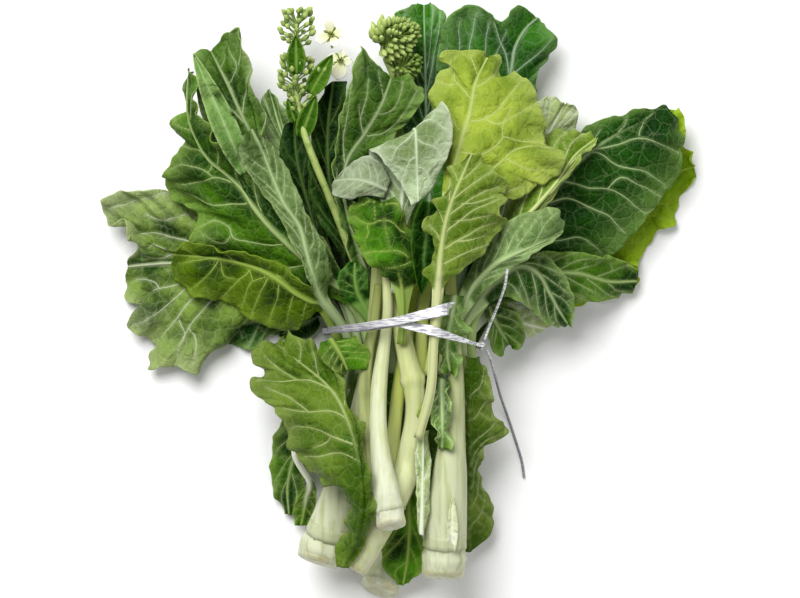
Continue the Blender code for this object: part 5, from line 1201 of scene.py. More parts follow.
def bud_material():
    """Closed bud: yellowish green sepals, paler at the tip."""
    _, tree, shader, place = new_material(
        "green_bud", Roughness=0.5, IOR=1.45, Specular_IOR_Level=0.2, Subsurface_Weight=0.1,
        Subsurface_Radius=(0.5, 1.0, 0.2), Subsurface_Scale=0.001,
    )
    colour = colour_mix(tree, share_of(tree, "tip"), "#54781d", "#c9d784")
    patches = ranged(tree, add_noise(tree, place, 180.0), 0.45, 0.7, 0.0, 0.45)
    finish_shader(tree, shader, colour_mix(tree, patches, colour, "#456a14"))


def petal_material():
    """White petal: thin and soft, with a faint yellow-green base."""
    _, tree, shader, _ = new_material(
        "white_petal", Roughness=0.6, IOR=1.4, Subsurface_Weight=0.2,
        Subsurface_Radius=(1.0, 1.0, 0.9), Subsurface_Scale=0.002,
    )
    finish_shader(tree, shader, colour_mix(tree, share_of(tree, "tip"), "#d9dd92", "#f7f3e8"))


def ribbon_material():
    """Silvered plastic ribbon: bright, creased lengthwise, with light and dark streaks that are partly dull
    crushed film and partly painted reflection.

    It darkens towards its left side and towards the end of its long tail: painted shade where the band turns
    down the side of the bunch and where the tail falls towards the floor.
    """
    _, tree, shader, place = new_material("silvered_ribbon", Metallic=0.4, Roughness=0.36)
    streaks = add_node(tree, "Mapping", None, {"Vector": place, "Scale": (0.03, 1.0, 0.3)}).outputs[0]
    creases = add_noise(tree, streaks, 900.0)
    # light and dark streaks: partly dull crushed film, partly painted reflection of the crumpled silver
    colour = colour_mix(tree, ranged(tree, creases, 0.36, 0.56), "#a6a6b0", "#f8f8fa")
    axes = add_node(tree, "SeparateXYZ", None, {"Vector": place}).outputs
    # painted shade: darker where the band turns down the left side and along the long tail
    for axis, near, far, most in ((0, -0.004, -0.045, 0.75), (1, -0.034, -0.055, 0.8)):
        colour = colour_mix(tree, ranged(tree, axes[axis], near, far, 0.0, most), colour, "#6f6d78")
    finish_shader(tree, shader, colour, creases, 0.4, 0.0004)


def place_piece(piece, node):
    """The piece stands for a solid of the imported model, rides with it and takes its slot."""
    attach(piece, "root")
    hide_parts(node)


def object_from(name, mesh, *materials):
    """A smooth object from a mesh in millimetres."""
    mesh.transform(Matrix.Scale(MM, 4))
    mesh.shade_smooth()
    mesh.materials.clear()
    for material in materials:
        mesh.materials.append(material)
    made = bpy.data.objects.new("fine_" + name, mesh)
    bpy.context.scene.collection.objects.link(made)
    return made


def applied(piece):
    """The piece with its modifiers applied."""
    bpy.context.view_layer.update()
    mesh = bpy.data.meshes.new_from_object(piece.evaluated_get(bpy.context.evaluated_depsgraph_get()))
    piece.modifiers.clear()
    piece.data = mesh
    return piece


def walled(piece, thickness):
    """The sheet with walls of this thickness in millimetres."""
    walls = piece.modifiers.new("walls", "SOLIDIFY")
    walls.thickness = thickness * MM
    walls.offset = 0
    return applied(piece)


def places_of(piece):
    """The vertices of a piece in millimetres."""
    return np.array([tuple(vertex.co) for vertex in piece.data.vertices]) / MM


def joined_pieces(first, others):
    """The first object with the others' meshes joined to it."""
    for piece in bpy.context.selected_objects:
        piece.select_set(False)
    for piece in (first, *others):
        piece.select_set(True)
    bpy.context.view_layer.objects.active = first
    bpy.ops.object.join()
    return first


def spline_at(rows, t):
    """Rows of points between the given rows, on smooth curves through them; t counts rows from 0."""
    padded = np.concatenate([[2 * rows[0] - rows[1]], rows, [2 * rows[-1] - rows[-2]]])
    i = np.minimum(t.astype(int), len(rows) - 2)
    f = (t - i).reshape(-1, *[1] * (rows.ndim - 1))
    a, b, c, d = padded[i], padded[i + 1], padded[i + 2], padded[i + 3]
    bend = (2 * a - 5 * b + 4 * c - d) * f + (3 * b - a - 3 * c + d) * f * f
    return b + 0.5 * f * (c - a + bend)


def row_steps(points, stem_rows, fine):
    """Row numbers, with fractions, that lie evenly along the blade and more openly along the stem."""
    lengths = np.linalg.norm(np.diff(points, axis=0), axis=2).mean(axis=1)
    found = []
    for row, length in enumerate(lengths):
        spacing = STEM_FINE if row < stem_rows else fine
        count = max(1, round(length / spacing))
        found.append(row + np.arange(count) / count)
    return np.concatenate([*found, [len(lengths)]])


def waves(distance, lengths, draw):
    """A wavy line: a sum of sines of these wavelengths, from -1 to 1 or so."""
    total = np.zeros_like(distance)
    for number, length in enumerate(lengths):
        swing = draw.uniform(0.7, 1.3) / (1 + 0.6 * number)
        drift = 0.15 * np.sin(distance / (2.7 * length) + draw.uniform(0, 6))
        total = total + swing * np.sin(2 * math.pi * (distance / length + drift) + draw.uniform(0, 6))
    return total / len(lengths) ** 0.5


class LeafForm:
    """The fine middle surface of a leaf, as a grid of points with facts about each."""

    def __init__(self, leaf, points, stem_rows, fine, flat):
        steps = row_steps(points, stem_rows, fine)
        rows = spline_at(points, steps)
        widths = np.linalg.norm(np.diff(points, axis=1), axis=2).sum(axis=1)
        side = max(3, round(max(widths) / 2 / fine))
        centre = (points.shape[1] - 1) // 2
        across = np.linspace(0, points.shape[1] - 1, 2 * side + 1)
        self.points = spline_at(rows.transpose(1, 0, 2), across).transpose(1, 0, 2)
        self.side = np.abs(across / centre - 1)
        self.blade = np.clip((steps - stem_rows) / (len(points) - 1 - stem_rows), 0, 1)
        self.in_blade = steps >= stem_rows
        self.first_row = int(np.argmax(self.in_blade))
        self.middle = side
        rib = self.points[:, side]
        self.rib_width = leaf["petiole"] * (1 - 0.75 * self.blade) * flat
        self.off_rib = np.linalg.norm(self.points - rib[:, None], axis=2)
        own = np.maximum(0, 1 - (self.off_rib / self.rib_width[:, None]) ** 2)
        thin = np.where(self.in_blade, THIN, BLADE)[:, None]
        self.half = (thin + 1.5 * self.rib_width[:, None] * own) / 2
        self.swell = np.clip(self.blade * 5, 0, 1)[:, None]

    def normals(self):
        along_rows = np.gradient(self.points, axis=0)
        along_columns = np.gradient(self.points, axis=1)
        found = np.cross(along_columns, along_rows)
        found /= np.linalg.norm(found, axis=2)[:, :, None] + 1e-9
        return found * np.where(found[..., 2:].mean() < 0, -1, 1)

    def at(self, share, across):
        """Places in the grid for a share of the blade's length and a signed share of its half width."""
        last = len(self.points) - 1
        row = np.clip(self.first_row + share * (last - self.first_row), 0, last - 1e-6)
        column = np.clip(self.middle * (1 + across), 0, 2 * self.middle - 1e-6)
        i, j = row.astype(int), column.astype(int)
        f, g = (row - i)[:, None], (column - j)[:, None]
        near = self.points[i, j] * (1 - g) + self.points[i, j + 1] * g
        far = self.points[i + 1, j] * (1 - g) + self.points[i + 1, j + 1] * g
        return near * (1 - f) + far * f


def vein_lines(count, draw):
    """The side veins of a leaf in shares of its blade: points, and radius at both ends."""
    lines = []
    for sign in (-1, 1):
        for k in range(count):
            start = 0.04 + 0.8 * (k + 0.5 + 0.25 * sign + draw.uniform(-0.12, 0.12)) / count
            bow = 0.24 * (1 - 0.45 * start) * draw.uniform(0.85, 1.2)
            wiggle = draw.uniform(-0.012, 0.012)
            v = np.linspace(0, 1, 14)
            line = start + bow * v**1.25 + wiggle * np.sin(v * 9)
            fork = draw.randint(6, 9)
            end = 13 if draw.random() < 0.5 else 12
            lines.append((line[: end + 1], sign * v[: end + 1], 0.48, 0.1))
            w = np.linspace(0, 1, 7)
            reach = draw.uniform(0.3, 0.4)
            branch = line[fork] + (0.3 * bow + 0.2 / count) * w**1.2 * draw.choice((1, 1, -0.5))
            lines.append((branch, sign * np.minimum(v[fork] + reach * w, 0.99), 0.2, 0.06))
            twig = fork - 3
            short = line[twig] - draw.uniform(0.02, 0.05) * w
            lines.append((short, sign * (v[twig] + 0.3 * w), 0.12, 0.05))
    return lines


def routed_lines(form, routes):
    """Veins along routes in plan, in the same terms as the ruled ones."""
    plan = form.points[..., :2]
    last = len(form.points) - 1
    lines = []
    for route in routes:
        length = sum(math.dist(a, b) for a, b in zip(route, route[1:]))
        smooth = along([(*place, 0) for place in route], np.linspace(0, 1, max(4, round(length / 4))))
        rows, columns = [], []
        for place in smooth:
            apart = ((plan - place[:2]) ** 2).sum(axis=2)
            row, column = np.unravel_index(apart.argmin(), apart.shape)
            rows.append(row)
            columns.append(column)
        share = (np.array(rows) - form.first_row) / (last - form.first_row)
        across = np.array(columns) / form.middle - 1
        for values in (share, across):
            values[1:-1] = (values[:-2] + 2 * values[1:-1] + values[2:]) / 4
        radius = min(0.75, 0.3 + length / 130)
        lines.append((np.maximum(share, 0), across, radius, 0.18))
    return lines


def resampled(form, share, across):
    """Points along a vein on the leaf, evenly apart, or None where it leaves the blade."""
    inside = (share >= 0) & (share <= 0.985)
    if inside.sum() < 3:
        return None
    share, across = share[inside], across[inside]
    rough = form.at(share, across)
    length = np.linalg.norm(np.diff(rough, axis=0), axis=1).sum()
    steps = np.linspace(0, len(share) - 1, max(3, round(length / VEIN_STEP)))
    return form.at(spline_at(share[:, None], steps)[:, 0], spline_at(across[:, None], steps)[:, 0])


def vein_mesh(form, lines):
    """Tapering tubes along these veins, which stand a little proud of both faces of the blade."""
    curve = bpy.data.curves.new("veins", "CURVE")
    curve.dimensions = "3D"
    curve.bevel_depth = 1
    curve.bevel_resolution = 0
    curve.use_fill_caps = True
    size = min(1.0, 0.55 + np.median(form.off_rib[form.in_blade].max(axis=1)) / 90)
    for *line, thick, thin in lines:
        points = resampled(form, *line)
        if points is None:
            continue
        spline = curve.splines.new("POLY")
        spline.points.add(len(points) - 1)
        radii = THIN / 2 + size * np.linspace(thick, thin, len(points))
        points = points - [0, 0, 0.3] * (radii[:, None] - THIN / 2)
        for point, place, radius in zip(spline.points, points, radii):
            point.co = (*place, 1)
            point.radius = radius
    holder = bpy.data.objects.new("veins", curve)
    bpy.context.scene.collection.objects.link(holder)
    bpy.context.view_layer.update()
    mesh = bpy.data.meshes.new_from_object(holder.evaluated_get(bpy.context.evaluated_depsgraph_get()))
    bpy.data.objects.remove(holder)
    bpy.data.curves.remove(curve)
    return mesh


def vein_distances(form, lines):
    """How far each point of the blade is from the nearest side vein."""
    found = [resampled(form, *line[:2]) for line in lines]
    places = np.concatenate([points for points in found if points is not None])
    tree = kdtree.KDTree(len(places))
    for index, point in enumerate(places):
        tree.insert(point, index)
    tree.balance()
    flat = form.points.reshape(-1, 3)
    found = np.array([tree.find(point)[2] for point in flat])
    return found.reshape(form.points.shape[:2])


def crumple(form, bulge, ruffle, lines, draw):
    """Ruffles the margin, bulges the cells between the veins; returns each point's distance from a vein."""
    distance = vein_distances(form, lines)
    near_rib = np.clip(form.off_rib / (2.5 * form.rib_width[:, None]), 0, 1)
    reach = np.minimum(distance, form.off_rib)
    up = 1.3 * bulge * (1 - np.exp(-((reach / PUCKER_REACH) ** 2) * 2)) * near_rib * form.swell
    outwards = np.zeros_like(form.points)
    ruffles = np.zeros(form.points.shape[:2])
    for columns, margin in ((slice(0, form.middle), 0), (slice(form.middle + 1, None), -1)):
        line = form.points[:, margin]
        wave = waves(distances(line), RUFFLE_WAVES, draw)[:, None]
        lobe = waves(distances(line), LOBE_WAVES, draw)[:, None]
        side = form.side[columns][None, :]
        ruffles[:, columns] = RUFFLE * ruffle * wave * side**2.6
        away = line - form.points[:, form.middle]
        away /= np.linalg.norm(away, axis=1)[:, None] + 1e-9
        outwards[:, columns] = (0.55 * lobe * side**5)[..., None] * away[:, None]
    lengthwise, crosswise = SWELL_WAVES
    swing = waves(distances(form.points[:, form.middle]), lengthwise, draw)[:, None]
    swing = swing * waves(form.off_rib + 9, crosswise, draw)
    broad = min(1, np.median(form.off_rib[form.in_blade].max(axis=1)) / 32)
    heave = HEAVE * broad * swing * np.clip(form.off_rib / 14, 0, 1)
    lift = (up + form.swell * (ruffles + heave))[..., None]
    form.points = form.points + form.normals() * lift + outwards * form.swell[..., None]
    form.points[..., 2] = np.maximum(form.points[..., 2], form.half + 0.05)
    return distance


def grid_mesh(name, points):
    """A sheet through a grid of points, with the row and column of each vertex."""
    rows, columns = points.shape[:2]
    bm = bmesh.new()
    bmesh.ops.create_grid(bm, x_segments=columns - 1, y_segments=rows - 1, size=1)
    mesh = mesh_of(name, bm)
    flat = np.zeros(3 * len(mesh.vertices))
    mesh.vertices.foreach_get("co", flat)
    flat = flat.reshape(-1, 3)
    column = np.rint((flat[:, 0] + 1) / 2 * (columns - 1)).astype(int)
    row = np.rint((flat[:, 1] + 1) / 2 * (rows - 1)).astype(int)
    mesh.vertices.foreach_set("co", points[row, column].ravel())
    mesh.update()
    return mesh, row, column


def set_shares(mesh, name, values):
    attribute = mesh.attributes.new(name, "FLOAT", "POINT")
    attribute.data.foreach_set("value", np.asarray(values, np.float32))


def thickened(piece, half):
    """Gives a sheet its walls, as thick at each vertex as twice its half thickness in millimetres."""
    group = piece.vertex_groups.new(name="thickness")
    for index, value in enumerate(half / half.max()):
        group.add([index], float(value), "REPLACE")
    solid = piece.modifiers.new("walls", "SOLIDIFY")
    solid.thickness = 2 * float(half.max()) * MM
    solid.vertex_group = "thickness"
    solid.offset = 0
    piece = applied(piece)
    piece.vertex_groups.clear()
    return piece


def smooth_on_stem(form, lift):
    """The same lift or more, without short waves along the stem."""
    window = 2 * STEM_WINDOW + 1
    rows = np.pad(lift.max(axis=1), 2 * STEM_WINDOW, mode="edge")
    high = np.array([rows[i : i + window].max() for i in range(len(lift) + 2 * STEM_WINDOW)])
    mean = np.array([high[i : i + window].mean() for i in range(len(lift))])
    fade = np.clip(1 - (np.arange(len(lift)) - form.first_row) / STEM_FADE, 0, 1)[:, None]
    return lift + (mean[:, None] - lift) * fade


def side_leaf(name, fine_pile, material, draw):
    """A small leaf beside the blade of another, low in the bunch."""
    base, tip, width, colours = SIDE_LEAVES[name]
    if colours:
        material = leaf_material(name + "_fold", *colours)
    rows, columns = round(math.dist(base, tip) / FINE) + 1, 2 * round(width / 2 / FINE) + 1
    points = oval_leaf_points((*base, 1), (*tip, 1), width, 1.5, draw, rows, columns)
    points[..., 2] = np.maximum(points[..., 2], 1)
    points[..., 2] += fine_pile.lift(points - (0, 0, SIDE_HALF), LEAF_SLOPE)
    fine_pile.add(points + (0, 0, SIDE_HALF))
    mesh, half = small_leaf_mesh(name + "_side", points)
    return thickened(object_from(name + "_side", mesh, material), half)


def leaf_shares(name, form, distance):
    """How much of the veins', the rim's and the stem's colour each point of a leaf takes; the rim's share is
    a paler margin with a painted highlight as a thin line on its very edge.
    """
    rib = np.exp(-((form.off_rib / (0.75 * form.rib_width[:, None] + 0.2)) ** 2))
    halo = 0.38 * np.exp(-((distance / HALO) ** 2)) * form.in_blade[:, None]
    broad_rim = 0.7 * np.clip((form.side[None, :] - 0.45) / 0.55, 0, 1) ** 2.2
    # edge: a thin bright line on the very margin, painted highlight
    edge = 0.9 * np.clip((form.side[None, :] - 0.93) / 0.07, 0, 1)
    start, end = RIB_LINES.get(name, (-1, 9))
    rib *= (np.clip((end - form.blade) / 0.25, 0, 1) * np.clip((form.blade - start) / 0.25, 0, 1))[:, None]
    rib[~form.in_blade] = 1
    stem = np.clip(1 - (np.arange(len(form.points)) - form.first_row) / 16, 0, 1)[:, None] * rib
    return {"vein": np.maximum(rib, halo), "rim": np.maximum(broad_rim, edge) * form.swell, "stem": stem}


def make_leaf(name, leaf, grid, fine_pile, seed):
    """A leaf with its veins, laid on the fine surfaces under it."""
    points, stem_rows = grid
    finish, tone_and_light, vein_count, bulge, ruffle = LEAF_LOOKS[name]
    draw = random.Random(seed)
    fine = HIDDEN_FINE if name in HIDDEN_LEAVES else FINE
    form = LeafForm(leaf, points, stem_rows, fine, FLAT_RIBS.get(name, 1))
    lines = vein_lines(vein_count, draw)
    if name in VEIN_ROUTES:
        lines = routed_lines(form, VEIN_ROUTES[name])
    distance = crumple(form, bulge, ruffle, lines, draw)
    upright = np.zeros_like(form.points)
    upright[..., 2] = form.half
    form.points[..., 2] += smooth_on_stem(form, fine_pile.lift(form.points - upright, LEAF_SLOPE))
    fine_pile.add(form.points + upright)
    mesh, row, column = grid_mesh(name, form.points)
    for kind, shares in leaf_shares(name, form, distance).items():
        set_shares(mesh, kind, shares[row, column])
    # the tone factor lightens or darkens the whole leaf: partly its own tone, partly painted light and shade
    colours = [toned(colour, tone_and_light) for colour in LEAF_COLOURS[finish]]
    material = leaf_material(name, *colours, STEM_COLOURS.get(name))
    blade = thickened(object_from(name, mesh, material), form.half[row, column])
    veins = vein_mesh(form, lines)
    set_shares(veins, "vein", np.full(len(veins.vertices), 0.95))
    others = [object_from(name + "_veins", veins, material)]
    if name in SIDE_LEAVES:
        others.append(side_leaf(name, fine_pile, material, draw))
    place_piece(joined_pieces(blade, others), name)


def tube_points(path, radii, sides, ribs=0.0, draw=None):
    """Rings of points round a path; ribs is the height of its lengthwise ribs as a share of the radius."""
    heading = np.gradient(path, axis=0)
    heading /= np.linalg.norm(heading, axis=1)[:, None]
    across = np.cross(heading, (0.02, 0.01, 1.0))
    across /= np.linalg.norm(across, axis=1)[:, None]
    up = np.cross(across, heading)
    turn = np.linspace(0, 2 * math.pi, sides + 1)
    shape = np.ones((len(path), sides + 1))
    if ribs:
        start = draw.uniform(0, 6)
        shape += ribs * (0.6 * np.cos(9 * turn + start) + 0.4 * np.cos(5 * turn - start))[None, :]
        shape += (0.6 * ribs * waves(distances(path), (60, 33), draw))[:, None]
    ring = np.cos(turn)[None, :, None] * across[:, None] + np.sin(turn)[None, :, None] * up[:, None]
    return path[:, None] + (radii[:, None] * shape)[..., None] * ring


def add_sheet(bm, points, share=None, layer=None, material=0):
    """Adds a grid of faces through the points; share fills the layer row by row."""
    rows, columns = points.shape[:2]
    made = bmesh.ops.create_grid(bm, x_segments=columns - 1, y_segments=rows - 1, size=1)["verts"]
    for vertex in made:
        column = round((vertex.co.x + 1) / 2 * (columns - 1))
        row = round((vertex.co.y + 1) / 2 * (rows - 1))
        vertex.co = points[row, column]
        if layer is not None:
            vertex[layer] = share[row]
    if material:
        for face in {face for vertex in made for face in vertex.link_faces}:
            face.material_index = material


def closed_sheets(name, bm):
    """The mesh with the seams and poles of its rolled sheets welded and its faces turned outwards."""
    bmesh.ops.remove_doubles(bm, verts=bm.verts, dist=WELD)
    bmesh.ops.recalc_face_normals(bm, faces=bm.faces)
    return mesh_of(name, bm)


def smooth_path(path, radii, spacing):
    """The path and radii at close, even steps."""
    length = np.linalg.norm(np.diff(path, axis=0), axis=1).sum()
    steps = np.linspace(0, len(path) - 1, max(3, round(length / spacing)) + 1)
    return spline_at(path, steps), spline_at(np.asarray(radii, float)[:, None], steps)[:, 0]


def slanted(points, place, heading, normal):
    """The rings of a stalk pushed back behind the slanting plane of its cut, the first one onto it."""
    beyond = ((points - place) @ normal) / (heading @ normal)
    room = 0.4 * np.arange(len(points))[:, None]
    back = np.maximum(0, beyond + room)
    back[0] = beyond[0]
    return points - back[..., None] * heading


def cap_rings(ring, heading, radius, steps):
    """Rings inside the first one: each step is the share of its width and its height above the cut."""
    centre = ring[:-1].mean(axis=0)
    rings = [centre + (ring - centre) * share + heading * height * radius / 10 for share, height in steps]
    return np.array(rings)


def torn_skin(name, path, radii, skin, draw):
    """A thin sleeve that widens off the stalk towards its base and ends there in a ragged edge."""
    edge, reach = TORN_SKIN[name]
    rows = np.flatnonzero((path[:, 1] > edge) & (path[:, 1] < edge + 11))
    off = np.linspace(0.55, -0.1, len(rows))
    points = tube_points(path[rows], radii[rows] + off, 72)
    turn = np.linspace(0, 2 * math.pi, 73)
    ragged = sum(np.sin(k * turn + draw.uniform(0, 6)) / k**0.3 for k in (3, 5, 8, 13, 19, 26)) / 2.6
    heading = unit(path[rows[0]] - path[rows[-1]])
    fall = np.clip(1 - np.arange(len(rows)) / 2, 0, 1)
    points = points + (reach * (0.2 + ragged[None, :] ** 2) * fall[:, None])[..., None] * heading
    points[:, -1] = points[:, 0]
    points[..., 2] = np.maximum(points[..., 2], 0.15)
    bm = bmesh.new()
    layer = bm.verts.layers.float.new("along")
    add_sheet(bm, points, np.full(len(rows), 0.35), layer)
    return walled(object_from(name + "_skin", closed_sheets(name, bm), skin), 0.3)


def stalk_mesh(name, path, radii, draw):
    """A ribbed tube with a slanting, slightly hollow cut at its rounded foot; its pith takes material 1."""
    heading = unit(path[0] - path[3])
    slant = unit(heading + (0, 0, 0.35))
    tube = tube_points(path, radii, STALK_SIDES, 0.035, draw)
    tube = slanted(tube, path[0] - 0.35 * radii[0] * heading, heading, slant)
    tube[:, -1] = tube[:, 0]
    rim = cap_rings(tube[0], heading, radii[0], ((0.9, 1.7), (0.955, 1.1), (0.988, 0.5)))
    pith = cap_rings(tube[0], heading, radii[0], ((0, 1.4), (0.35, 1.6), (0.62, 2.2), (0.8, 2.1), (0.9, 1.7)))
    tip = np.repeat(path[-1:], STALK_SIDES + 1, axis=0)[None]
    skin = np.concatenate([rim, tube, tip])
    shares = np.concatenate([np.zeros(len(rim)), np.linspace(0, 1, len(path)), [1]])
    bm = bmesh.new()
    layer = bm.verts.layers.float.new("along")
    for material, (points, share) in enumerate(((skin, shares), (pith, np.zeros(len(pith))))):
        points[..., 2] = np.maximum(points[..., 2], 0.05)
        add_sheet(bm, points, share, layer, material)
    return closed_sheets(name, bm)


def make_bracts(name, path, radii, draw):
    """The bracts that lie on a stalk."""
    made = []
    for number, (base, tip, width, look) in enumerate(BRACTS.get(name, ())):
        tops = []
        for x, y in (base, tip):
            near = int(np.argmin(np.abs(path[:, 1] - y) + 0.3 * np.abs(path[:, 0] - x)))
            aside = min(abs(x - path[near, 0]) / radii[near], 1.0)
            tops.append(path[near, 2] + radii[near] * (1 - aside**2) ** 0.5 + 0.3)
        tops[1] = max(tops[1], tops[0] - 3) + 0.8
        material = leaf_material(look, *BRACT_LOOKS[look])
        points = (*base, tops[0]), (*tip, tops[1])
        made.append(make_small_leaf(f"{name}_bract_{number}", *points, width, 0.8, material, draw))
    return made


def make_stalk(name, path, radii, fine_pile, seed):
    """A stalk with its swellings, torn skin and bracts, laid on the fine surfaces under it."""
    draw = random.Random(seed)
    path, radii = smooth_path(path, radii, STALK_RING)
    if name == "back_stalk":
        bend, start, length = BACK_FOOT
        path[:, 0] += bend * np.clip((start - path[:, 1]) / length, 0, 1)
    for place, height, half in STALK_RINGS.get(name, ()):
        radii = radii + height * np.exp(-(((path[:, 1] - place) / half) ** 2))
    path = settle_path(fine_pile, path, radii, STALK_SLOPE)
    mesh = stalk_mesh(name, path, radii, draw)
    skin = stalk_material(name, *STALK_COLOURS[STALK_LOOKS[name]])
    made = object_from(name, mesh, skin, bpy.data.materials["cut_pith"])
    others = [torn_skin(name, path, radii, skin, draw)] if name in TORN_SKIN else []
    others += make_bracts(name, path, radii, draw)
    place_piece(joined_pieces(made, others) if others else made, name)


def bud_points(place, heading, length, width):
    """A closed bud from its root to its tip, with four sepals that leave faint furrows."""
    t = np.linspace(0, 1, 8)
    path = np.array(place) + t[:, None] * length * np.array(heading)
    swell = np.sin(math.pi * np.clip(t, 0, 1) ** 0.85) ** 0.75
    swell[0], swell[-1] = 0, 0
    points = tube_points(path, width / 2 * swell, 8)
    centre = path[:, None]
    furrow = 1 + 0.07 * np.cos(np.linspace(0, 8 * math.pi, 9))[None, :, None]
    return centre + (points - centre) * furrow


def bent_path(start, end, sag, steps=6):
    """A line that bows from the start to the end by the sag, a vector in millimetres."""
    t = np.linspace(0, 1, steps)[:, None]
    return np.array(start) * (1 - t) + np.array(end) * t + 4 * t * (1 - t) * np.array(sag)


def unit(vector):
    vector = np.array(vector, float)
    return vector / np.linalg.norm(vector)


def add_bud(bm, layer, root, start, heading, length, width, share=0.8):
    """A bud at the start, on a thin stalk from the root; share is how pale its tip is."""
    line = bent_path(root, np.array(start) + 0.4 * np.array(heading), 0.5 * np.array(heading), 5)
    add_sheet(bm, tube_points(line, np.linspace(0.5, 0.6, 5), 5), np.full(5, 0.3), layer)
    points = bud_points(start, heading, length, width)
    add_sheet(bm, points, np.linspace(0.1, share, len(points)), layer)


def oval_leaf_points(base, tip, width, lift, draw, rows=13, columns=9):
    """A small leaf without a stalk, bowed upwards by the lift and turned up a little at its sides."""
    t = np.linspace(0, 1, rows)
    rib = bent_path(base, tip, (0, 0, lift), rows)
    heading = unit(np.array(tip) - np.array(base))
    side = unit(np.cross(heading, (0, 0, 1)))
    profile = width / 2 * np.sin(math.pi * np.clip(0.06 + 0.94 * t, 0, 1) ** 0.75) ** 0.8
    across = np.linspace(-1, 1, columns)
    edge = waves(t * np.linalg.norm(np.array(tip) - np.array(base)), (9, 6), draw)
    points = rib[:, None] - (profile[:, None] * across[None, :])[..., None] * side
    points[..., 2] += (0.18 * width * across**2)[None, :] + 0.6 * edge[:, None] * (across**4)[None, :]
    return points


def small_leaf_mesh(name, points):
    """A small leaf as a sheet with a narrow standing rib, whose vein share fades from the rib."""
    half = np.full(points.shape[:2], 0.3)
    across = np.abs(np.linspace(-1, 1, points.shape[1]))[None, :] + 0 * half
    half = half + 0.35 * np.exp(-((across / 0.14) ** 2))
    mesh, row, column = grid_mesh(name, points)
    set_shares(mesh, "vein", 0.7 * np.exp(-((across / 0.13) ** 2))[row, column])
    set_shares(mesh, "rim", 0.5 * (across**8)[row, column])
    return mesh, half[row, column]


def make_small_leaf(name, base, tip, width, lift, material, draw):
    mesh, half = small_leaf_mesh(name, oval_leaf_points(base, tip, width, lift, draw))
    return thickened(object_from(name, mesh, material), half)


def path_at(path, y):
    """The point of a path at this place along Y."""
    return np.array([np.interp(y, path[:, 1], path[:, axis]) for axis in range(3)])


def fine_bud_stem(name, path, radii, fine_pile):
    """Close points along a bud stem that lies clear of the fine surfaces, and the radius at each."""
    path, radii = smooth_path(path, radii, 4.0)
    start, width = BUD_HEADS[name][1]
    return settle_path(fine_pile, path, np.where(path[:, 1] > start, width, radii), STALK_SLOPE), radii


def make_bud_spray(path, radii, fine_pile):
    """The left stem: two open clusters of small buds, and narrow leaves between and below them."""
    draw = random.Random(5)
    path, radii = fine_bud_stem("left_bud_spray", path, radii, fine_pile)
    bm = bmesh.new()
    layer = bm.verts.layers.float.new("tip")
    add_sheet(bm, tube_points(path, radii, 12, 0.04, draw), np.full(len(path), 0.6), layer)
    for low, high, count, spread in SPRAY_CLUSTERS:
        for i in range(count):
            t = (i + 0.5) / count
            root = path_at(path, low + (high - low) * t - 3)
            spin = i * GOLDEN + draw.uniform(-0.3, 0.3)
            reach = spread * (0.45 + 0.55 * math.sin(math.pi * (0.25 + 0.72 * t))) * draw.uniform(0.75, 1.1)
            out = np.array([math.cos(spin), 0.25 + 0.5 * t, math.sin(spin)])
            start = root + np.array([out[0] * reach * 0.8, 3 + 4.5 * t, out[2] * reach * 0.62])
            heading = unit(out + (0, 0.35, 0.1))
            size = draw.uniform(0.85, 1.15)
            add_bud(bm, layer, root, start, heading, 5.8 * size, 3.5 * size, draw.uniform(0.5, 1))
    fork = path_at(path, 122)
    side = bent_path(fork, (-53, 148, fork[2] + 3), (2, 0, 1), 9)
    add_sheet(bm, tube_points(side, np.linspace(1.4, 0.9, 9), 8), np.full(9, 0.5), layer)
    for i in range(7):
        spin = i * GOLDEN
        heading = unit((math.cos(spin), 1.1, 0.7 * math.sin(spin)))
        add_bud(bm, layer, side[-1], side[-1] + 3.5 * heading, heading, 5.0, 3.1)
    spray = object_from("left_bud_spray", closed_sheets("spray", bm), bpy.data.materials["green_bud"])
    blade = leaf_material("bud_stalk_leaf", "#4d7a16", "#2a5207", "#7f9d42", "#76983a")
    leaves = []
    for name, (base, tip, width, lift) in SPRAY_LEAVES.items():
        ends = (np.array(end) + (0, 0, fork[2]) for end in (base, tip))
        leaves.append(make_small_leaf(name, *ends, width, lift, blade, draw))
    place_piece(joined_pieces(spray, leaves), "left_bud_spray")


def add_bud_cluster(bm, layer, base, axis, count, reach, lengths, tint, draw):
    """Buds round an axis: old long ones spread out at its base, young short ones crowd at its tip."""
    heading = unit(axis)
    level = unit(np.cross(heading, (0, 0, 1)))
    upright = np.cross(level, heading)
    for i in range(count):
        age = 1 - i / count
        lean = 1.75 * age**0.6
        spin = i * GOLDEN + draw.uniform(-0.3, 0.3)
        aside = level * math.cos(spin) + upright * math.sin(spin)
        out = heading * math.cos(lean) + aside * math.sin(lean)
        root = np.array(base) + np.array(axis) * (1 - age)
        spread = 0.55 + 0.45 * math.sin(math.pi * (0.2 + 0.6 * age))
        start = root + out * reach * spread * draw.uniform(0.8, 1.1)
        size = draw.uniform(0.85, 1.15)
        length = (lengths[1] + (lengths[0] - lengths[1]) * age**1.4) * size
        facing = unit(out + 0.35 * heading)
        share = tint * (0.55 + 0.6 * age**1.5) * draw.uniform(0.85, 1.15)
        add_bud(bm, layer, root, start, facing, length, 0.24 * length + 1.6 * size, share)


